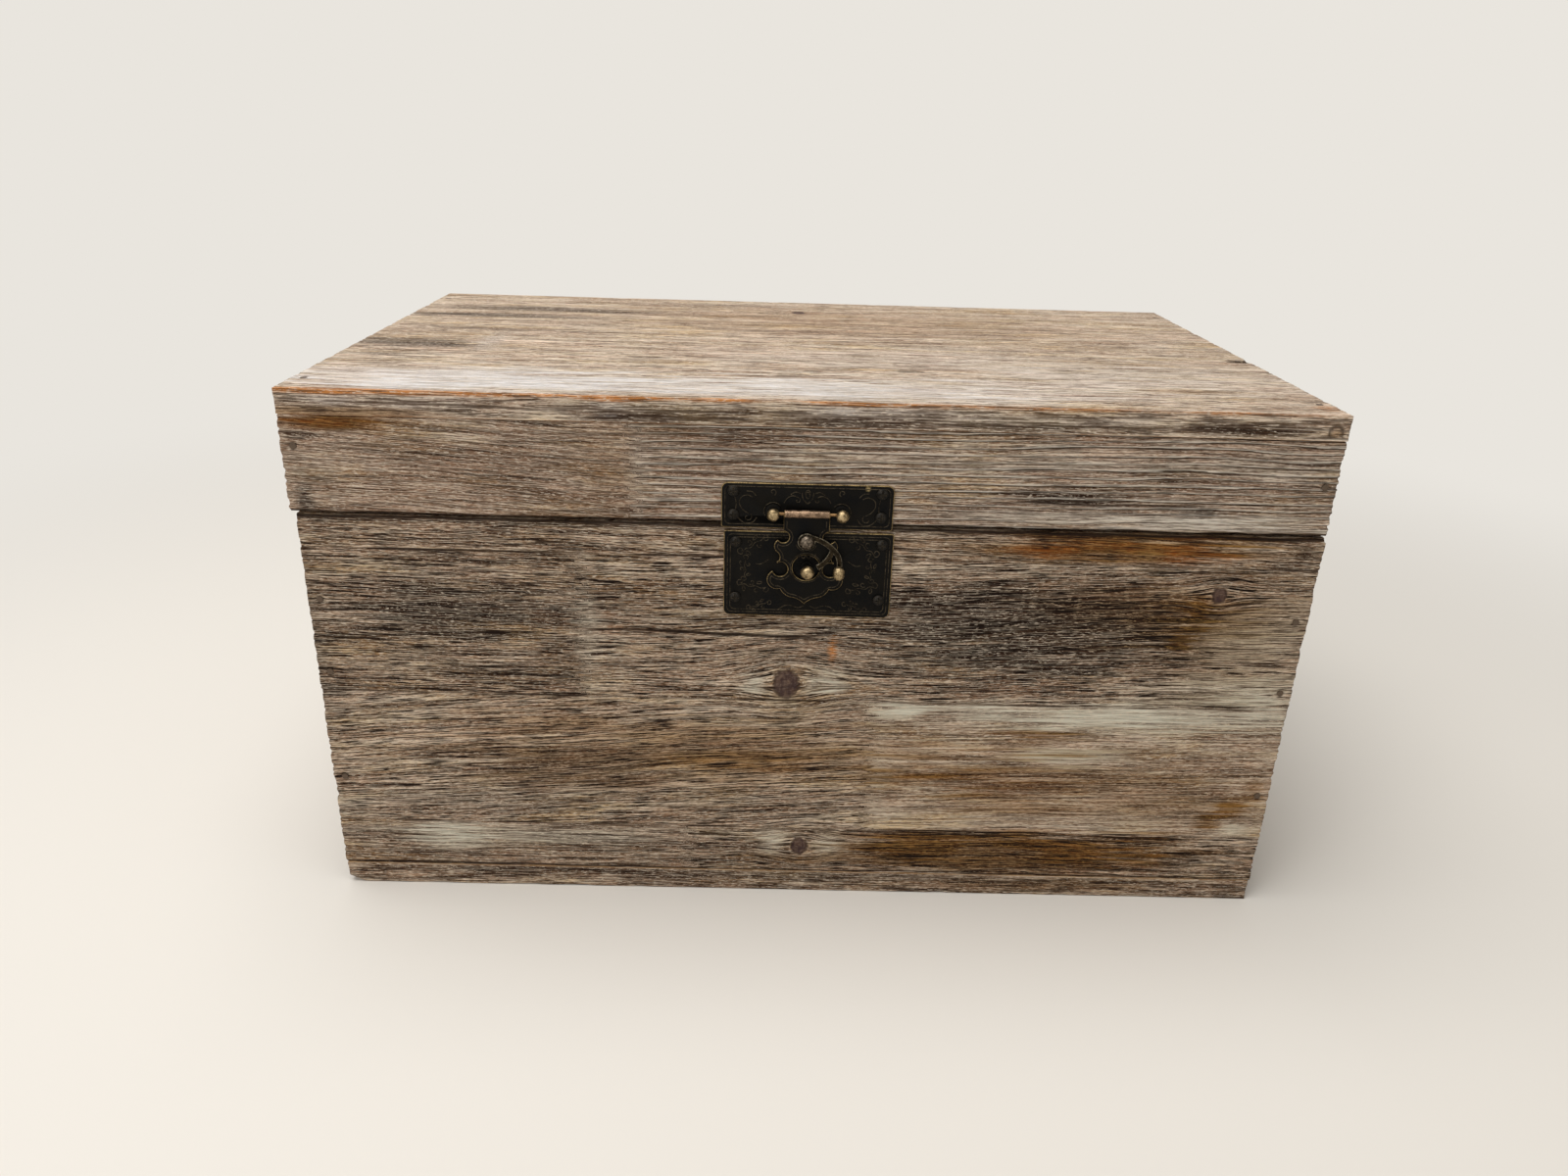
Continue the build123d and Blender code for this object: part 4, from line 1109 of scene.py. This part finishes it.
# A sprig of the plates' ornament: a wavy stem with two curls and three small leaves
SPRIG = [
    (False, [(-6.5, -2.5), (-4.0, -0.6), (-1.5, -0.8), (1.0, 0.8), (4.0, 1.0), (6.5, 3.0)]),
    curl(-6.2, -0.6, 1.9, 270, -330),
    curl(6.0, 1.2, 1.8, 80, -320),
    curl(-1.4, 1.8, 1.5, 250, 300),
    curl(2.6, -1.2, 1.4, 100, 300),
    (True, [(0.6, 2.2), (1.6, 3.6), (3.0, 4.0), (2.4, 2.6)]),
    (True, [(-4.2, -1.6), (-4.0, -3.2), (-2.8, -4.0), (-2.8, -2.6)]),
]
low, high = box_mm("hasp_upper_plate")
middle = (low[0] + high[0]) / 2
face = low[1]
end_scroll = [
    (False, [(-26.3, 209.9), (-28.6, 210.8), (-31.3, 209.6), (-32.0, 206.8), (-30.4, 204.0), (-27.8, 202.2)]),
    curl(-28.4, 200.6, 2.1, 50, -300),
    (False, [(-34.0, 209.8), (-33.4, 206.8), (-33.6, 203.2), (-32.4, 200.2), (-29.6, 197.9),
             (-26.2, 198.2), (-24.3, 200.6)]),
    (False, [(-29.0, 212.6), (-26.4, 212.3), (-24.8, 210.6)]),
]
crown = [
    (False, [(-12.4, 207.6), (-11.0, 209.8), (-8.6, 210.9), (-6.2, 210.2)]),
    curl(-6.5, 208.8, 1.4, 90, -330),
    (False, [(-9.6, 211.4), (-7.6, 212.6), (-5.4, 212.2)]),
    (False, [(-4.6, 212.4), (-4.2, 209.6), (middle, 207.4)]),
    (False, [(-3.2, 211.8), (-2.9, 213.0), (middle, 213.8)]),
    curl(-17.4, 212.4, 1.6, 300, 320),
]
ring = [curl(-17.1, 203.55, 4.1, 40, 170, end=1.0)]
upper_strokes = end_scroll + crown + ring
upper_strokes += mirrored(upper_strokes, middle)
upper_strokes += [
    curl(middle, 208.6, 1.2, 180, 180, end=1.0),
    (True, [(middle, 212.8), (-1.2, 211.2), (middle, 209.6), (-3.0, 211.2)]),
]
upper_strokes.append(rounded_frame(low, high, BORDER))
dressed("hasp_upper_plate", "lid", plate_black, edge_brass)
relief("upper_plate_relief", "lid", relief_brass, face, upper_strokes)

low, high = box_mm("hasp_lower_plate")
middle = (low[0] + high[0]) / 2
face = low[1]
SPRIG_PLACES = (
    # X, Z, turn, size, for the left half; the right half has the same, turned over
    (-25.5, 187.5, 20, 1.0),
    (-29.0, 176.5, 75, 0.8),
    (-25.5, 167.5, -25, 0.95),
    (-22.5, 158.3, 5, 0.75),
)
lower_strokes = [stroke for x, z, turn, size in SPRIG_PLACES for stroke in moved(SPRIG, x, z, turn, size)]
lower_strokes += [
    (False, [(-14.0, 156.2), (-11.4, 158.2), (-8.2, 158.6), (-5.0, 157.6), (-2.4, 158.4)]),
    (False, [(-18.6, 180.6), (-20.4, 179.4), (-22.4, 178.4), (-24.4, 178.6)]),
]
lower_strokes += mirrored(lower_strokes, middle)
lower_strokes += [rounded_frame(low, high, inset) for inset in (BORDER, BORDER + BORDER_GAP)]
dressed("hasp_lower_plate", "base", plate_black, edge_brass)
relief("lower_plate_relief", "base", relief_brass, face, lower_strokes, radius=0.22)

# Blackened steel screws: dull black heads with a cross slot.
screw_black = metal("blackened_screw_steel", "#100f0e", "#33302c", 1.5, (0.35, 0.55), 0.3, metallic=0.9)
for name, body in (
    ("upper_plate_screws", "lid"),
    ("lower_plate_screws", "base"),
    ("hinge_body_screws", "base"),
    ("hinge_lid_screws", "lid"),
):
    dressed(name, body, screw_black, relief_brass, rounding=0.14, edges_too=False)


# Rod posts and latch stud: turned brass balls on short necks, worn bright where hands touch them.
# Their tails go through the plates and are hammered flat behind.
worn_brass = metal("worn_turned_brass", "#4d402c", "#cbb38a", 1.7, (0.3, 0.5), 0.35)
TURN_SEGMENTS = 48
HAND_WEAR = 0.05  # how far the balls are from true, in millimetres
COLLAR_CHAMFER = 0.3
IN_PLATE = 0.4  # how far a collar reaches into the plate
BALL_STEPS = 24


def turned(name, body, finish, centre, face, profile, seed, upright=False, black_to=-9.0):
    """A turned piece that stands out of a plate: profile gives (radius, height over the plate). An
    upright one stands along Z instead, with its middle at the given face. Up to the height black_to
    it is as black as the plate."""
    x, z = centre
    points = []
    for radius, out in profile:
        for k in range(TURN_SEGMENTS):
            angle = 2 * math.pi * k / TURN_SEGMENTS
            points.append((radius * math.cos(angle), -out, radius * math.sin(angle)))
    points = np.array(points)
    rough = smooth_noise(points[:, 0] * 1.1 + 20, points[:, 2] * 1.1 + points[:, 1] * 0.7 + 20, seed) - 0.5
    swell = 1 + HAND_WEAR * 2 * rough / max(radius for radius, out in profile)
    points[:, 0] *= swell
    points[:, 2] *= swell
    if upright:
        points = points[:, [0, 2, 1]] * [1, 1, -1]
    points += [x, face, z]
    rows = len(profile)
    faces = [
        (r * TURN_SEGMENTS + k, r * TURN_SEGMENTS + (k + 1) % TURN_SEGMENTS,
         (r + 1) * TURN_SEGMENTS + (k + 1) % TURN_SEGMENTS, (r + 1) * TURN_SEGMENTS + k)
        for r in range(rows - 1) for k in range(TURN_SEGMENTS)
    ]
    mesh = bpy.data.meshes.new(name)
    mesh.from_pydata((points * MM).tolist(), [], faces)
    work = merged(mesh, 1e-7)
    bmesh.ops.recalc_face_normals(work, faces=work.faces)
    work.to_mesh(mesh)
    work.free()
    mesh.materials.append(finish)
    mesh.materials.append(plate_black)
    for polygon in mesh.polygons:
        polygon.material_index = int(face - polygon.center.y / MM < black_to)
    mesh.shade_smooth()
    mesh.set_sharp_from_angle(angle=SMOOTH_ANGLE)
    belongs(new_object("turned_" + name, mesh), body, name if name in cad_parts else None)


def ball_profile(collar_radius, collar, neck_radius, ball_radius, ball_out):
    """Rim of a ball on a neck on a collar, from inside the plate to the crown."""
    rim = collar_radius - COLLAR_CHAMFER
    profile = [(0.0, -IN_PLATE), (collar_radius, -IN_PLATE), (collar_radius, collar * 0.6), (rim, collar)]
    profile.append((neck_radius, collar))
    start = math.asin(neck_radius / ball_radius)
    for k in range(BALL_STEPS + 1):
        angle = start + (math.pi - start) * k / BALL_STEPS
        profile.append((ball_radius * math.sin(angle), ball_out - ball_radius * math.cos(angle)))
    profile[-1] = (0.0, profile[-1][1])
    return profile


STUD_CENTRE = (-1.35, 177.66)
POST_CENTRES = {"left_rod_post": (-17.1, 203.55), "right_rod_post": (13.2, 203.55)}
upper_face, lower_face = (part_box(plate)[0][1] / MM for plate in ("hasp_upper_plate", "hasp_lower_plate"))
profile = ball_profile(3.3, 0.5, 1.5, 2.85, 5.0)
for seed, (name, centre) in enumerate(POST_CENTRES.items(), 5):
    turned(name, "lid", worn_brass, centre, upper_face, profile, seed, black_to=2.6)
profile = ball_profile(2.6, 0.7, 1.5, 3.05, 7.6)
turned("latch_stud", "base", worn_brass, STUD_CENTRE, lower_face, profile, 9, black_to=5.0)


# Rod and flap: the flap's top is rolled round a plain rod between the posts, and hangs down over
# the lower plate as a cloud-shaped leaf with a round eye for the stud.
rod_brass = metal("drawn_brass_rod", "#4a3826", "#b08a5e", 1.5, (0.3, 0.5), 0.4)
knuckle_copper = metal("rubbed_bronze_knuckle", "#46372b", "#a98d73", 2.4, (0.32, 0.5), 0.5)
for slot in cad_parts["hasp_rod"].material_slots:
    slot.material = rod_brass
KNUCKLE_MIDDLE = -2.2
KNUCKLE_HALF = 10.05
KNUCKLE_FROM = 201.4  # the flap's rolled top begins at this height
FLAP_FACE = -142.2
FLAP_INSET = 1.5  # of the line that runs round inside its edge
FLAP_LINE_TOP = 200.6  # the line runs up under the knuckle and ends there
OUTLINE_STEP = 0.5  # between the points of that line
CUSP_CUT = 0.93  # points nearer to the edge than this share of the inset lie in a cusp's loop
RIVET_CENTRE = (-2.05, 190.8)
EYE_CENTRE = (-1.85, 178.05)
dressed(
    "hasp_flap", "flap", plate_black, edge_brass, rounding=0.25,
    extra=(lambda at: at.z > KNUCKLE_FROM and abs(at.x - KNUCKLE_MIDDLE) < KNUCKLE_HALF, knuckle_copper),
)


def front_outline(name, face):
    """The longest closed outline of a node's flat face at a Y, as points in X and Z."""
    work = merged(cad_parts[name].data)
    flat = {f for f in work.faces if all(abs(v.co.y / MM - face) < HAIR for v in f.verts)}
    beside = {}
    for edge in work.edges:
        if sum(f in flat for f in edge.link_faces) == 1:
            a, b = edge.verts
            beside.setdefault(a, []).append(b)
            beside.setdefault(b, []).append(a)
    outlines = []
    while beside:
        here = next(iter(beside))
        chain = []
        while here is not None:
            chain.append((here.co.x / MM, here.co.z / MM))
            here = next((v for v in beside.pop(here) if v in beside), None)
        outlines.append(chain)
    work.free()
    return max(outlines, key=lambda o: sum(math.dist(a, b) for a, b in zip(o, o[1:])))


def offset_inside(outline, inset):
    """Points inside an outline at an even distance from it, without the loops at its cusps."""
    dense = np.array(spaced_out(outline, OUTLINE_STEP))
    ahead = np.roll(dense, -1, 0) - dense
    area = np.sum(dense[:, 0] * np.roll(dense[:, 1], -1) - np.roll(dense[:, 0], -1) * dense[:, 1])
    inner = np.stack([-ahead[:, 1], ahead[:, 0]], 1) * np.sign(area)
    inner /= np.linalg.norm(inner, axis=1)[:, None]
    inner = dense + inset * (inner + np.roll(inner, 1, 0)) / 2
    gaps = np.linalg.norm(inner[:, None] - dense[None], axis=2).min(1)
    return [tuple(point) for point in inner[gaps > inset * CUSP_CUT]]


inner = [p for p in offset_inside(front_outline("hasp_flap", FLAP_FACE), FLAP_INSET) if p[1] < FLAP_LINE_TOP]
widest = max(range(len(inner)), key=lambda k: math.dist(inner[k - 1], inner[k]))
SCALLOPS = [(-6.4, 184.8), (-5.5, 183.0), (-4.4, 183.9), (-3.3, 182.5), (-2.05, 183.7)]
flap_strokes = [
    (False, inner[widest:] + inner[:widest]),
    curl(*EYE_CENTRE, 7.0, 0, 350, end=1.0),
    (False, SCALLOPS + [(2 * SCALLOPS[-1][0] - x, z) for x, z in SCALLOPS[-2::-1]]),
    curl(*RIVET_CENTRE, 4.9, 200, 140, end=1.0),
]
relief("flap_relief", "flap", relief_brass, FLAP_FACE, flap_strokes, radius=0.22)


# Rivet and hook: a flat steel hook turns on a domed rivet in the flap. Its finger goes behind the
# ball of the stud, and an oblong brass knob on its arm is there to push it by.
DOME_RADIUS, DOME_HEIGHT = 3.4, 3.1
DOME_RIM = 0.15  # the straight edge under the dome
DOME_FACE = -143.7
cast_bronze = metal("cast_bronze_dome", "#1a1714", "#86796a", 1.1, (0.25, 0.5), 0.5)
hook_bronze = metal("blackened_bronze_hook", "#12100c", "#3d3427", 2.0, (0.35, 0.55), 0.5)
hook_silver = metal("rubbed_steel_edge", "#2e2a23", "#a89d88", 2.4, (0.3, 0.45), 0.5)
dome = [(0.0, -1.6), (1.25, -1.6), (1.25, -0.05), (DOME_RADIUS, 0.0)]
for degrees in range(0, 91, 6):
    angle = math.radians(degrees)
    dome.append((DOME_RADIUS * math.cos(angle), DOME_RIM + (DOME_HEIGHT - DOME_RIM) * math.sin(angle)))
dome[-1] = (0.0, DOME_HEIGHT)
turned("hook_rivet", "flap", cast_bronze, RIVET_CENTRE, DOME_FACE, dome, 13)
HOOK_BACK = -142.4
HOOK_CLEAR = 0.12  # filed off its back, so that it passes under the flap's knuckle
hook = dressed("swing_hook", "hook", hook_bronze, hook_silver, rounding=0.2)
for vertex in hook.data.vertices:
    if vertex.co.y > (HOOK_BACK - HAIR) * MM:
        vertex.co.y -= HOOK_CLEAR * MM

KNOB_CENTRE = (12.6, 177.6)
KNOB_RADIUS, KNOB_REACH = 2.6, 0.6  # the reach is from its middle to the middle of each round end
HOOK_FACE, KNOB_FACE = -143.6, -147.0
knob = []
for degrees in (*range(0, 91, 6), *range(91, 181, 6), 180):
    angle = math.radians(degrees)
    middle = math.copysign(KNOB_REACH, degrees - 90)
    knob.append((KNOB_RADIUS * math.sin(angle), middle - KNOB_RADIUS * math.cos(angle)))
turned("hook_knob", "hook", worn_brass, KNOB_CENTRE, KNOB_FACE, knob, 17, upright=True)
neck = [(0.0, -0.9), (0.65, -0.9), (0.65, 0.0), (1.7, 0.0), (1.7, 0.35), (1.2, 0.6), (1.2, 2.4), (0.0, 2.4)]
turned("knob_neck", "hook", worn_brass, KNOB_CENTRE, HOOK_FACE, neck, 19)


# Hinges: two plain steel butt hinges screwed to the outside of the back, blackened like the hasp.
for side in ("left", "right"):
    dressed(f"hinge_{side}_body_leaf", "base", plate_black, edge_brass, rounding=0.15)
    dressed(f"hinge_{side}_lid_leaf", "lid", plate_black, edge_brass, rounding=0.15)
    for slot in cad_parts[f"hinge_{side}_pin"].material_slots:
        slot.material = rod_brass
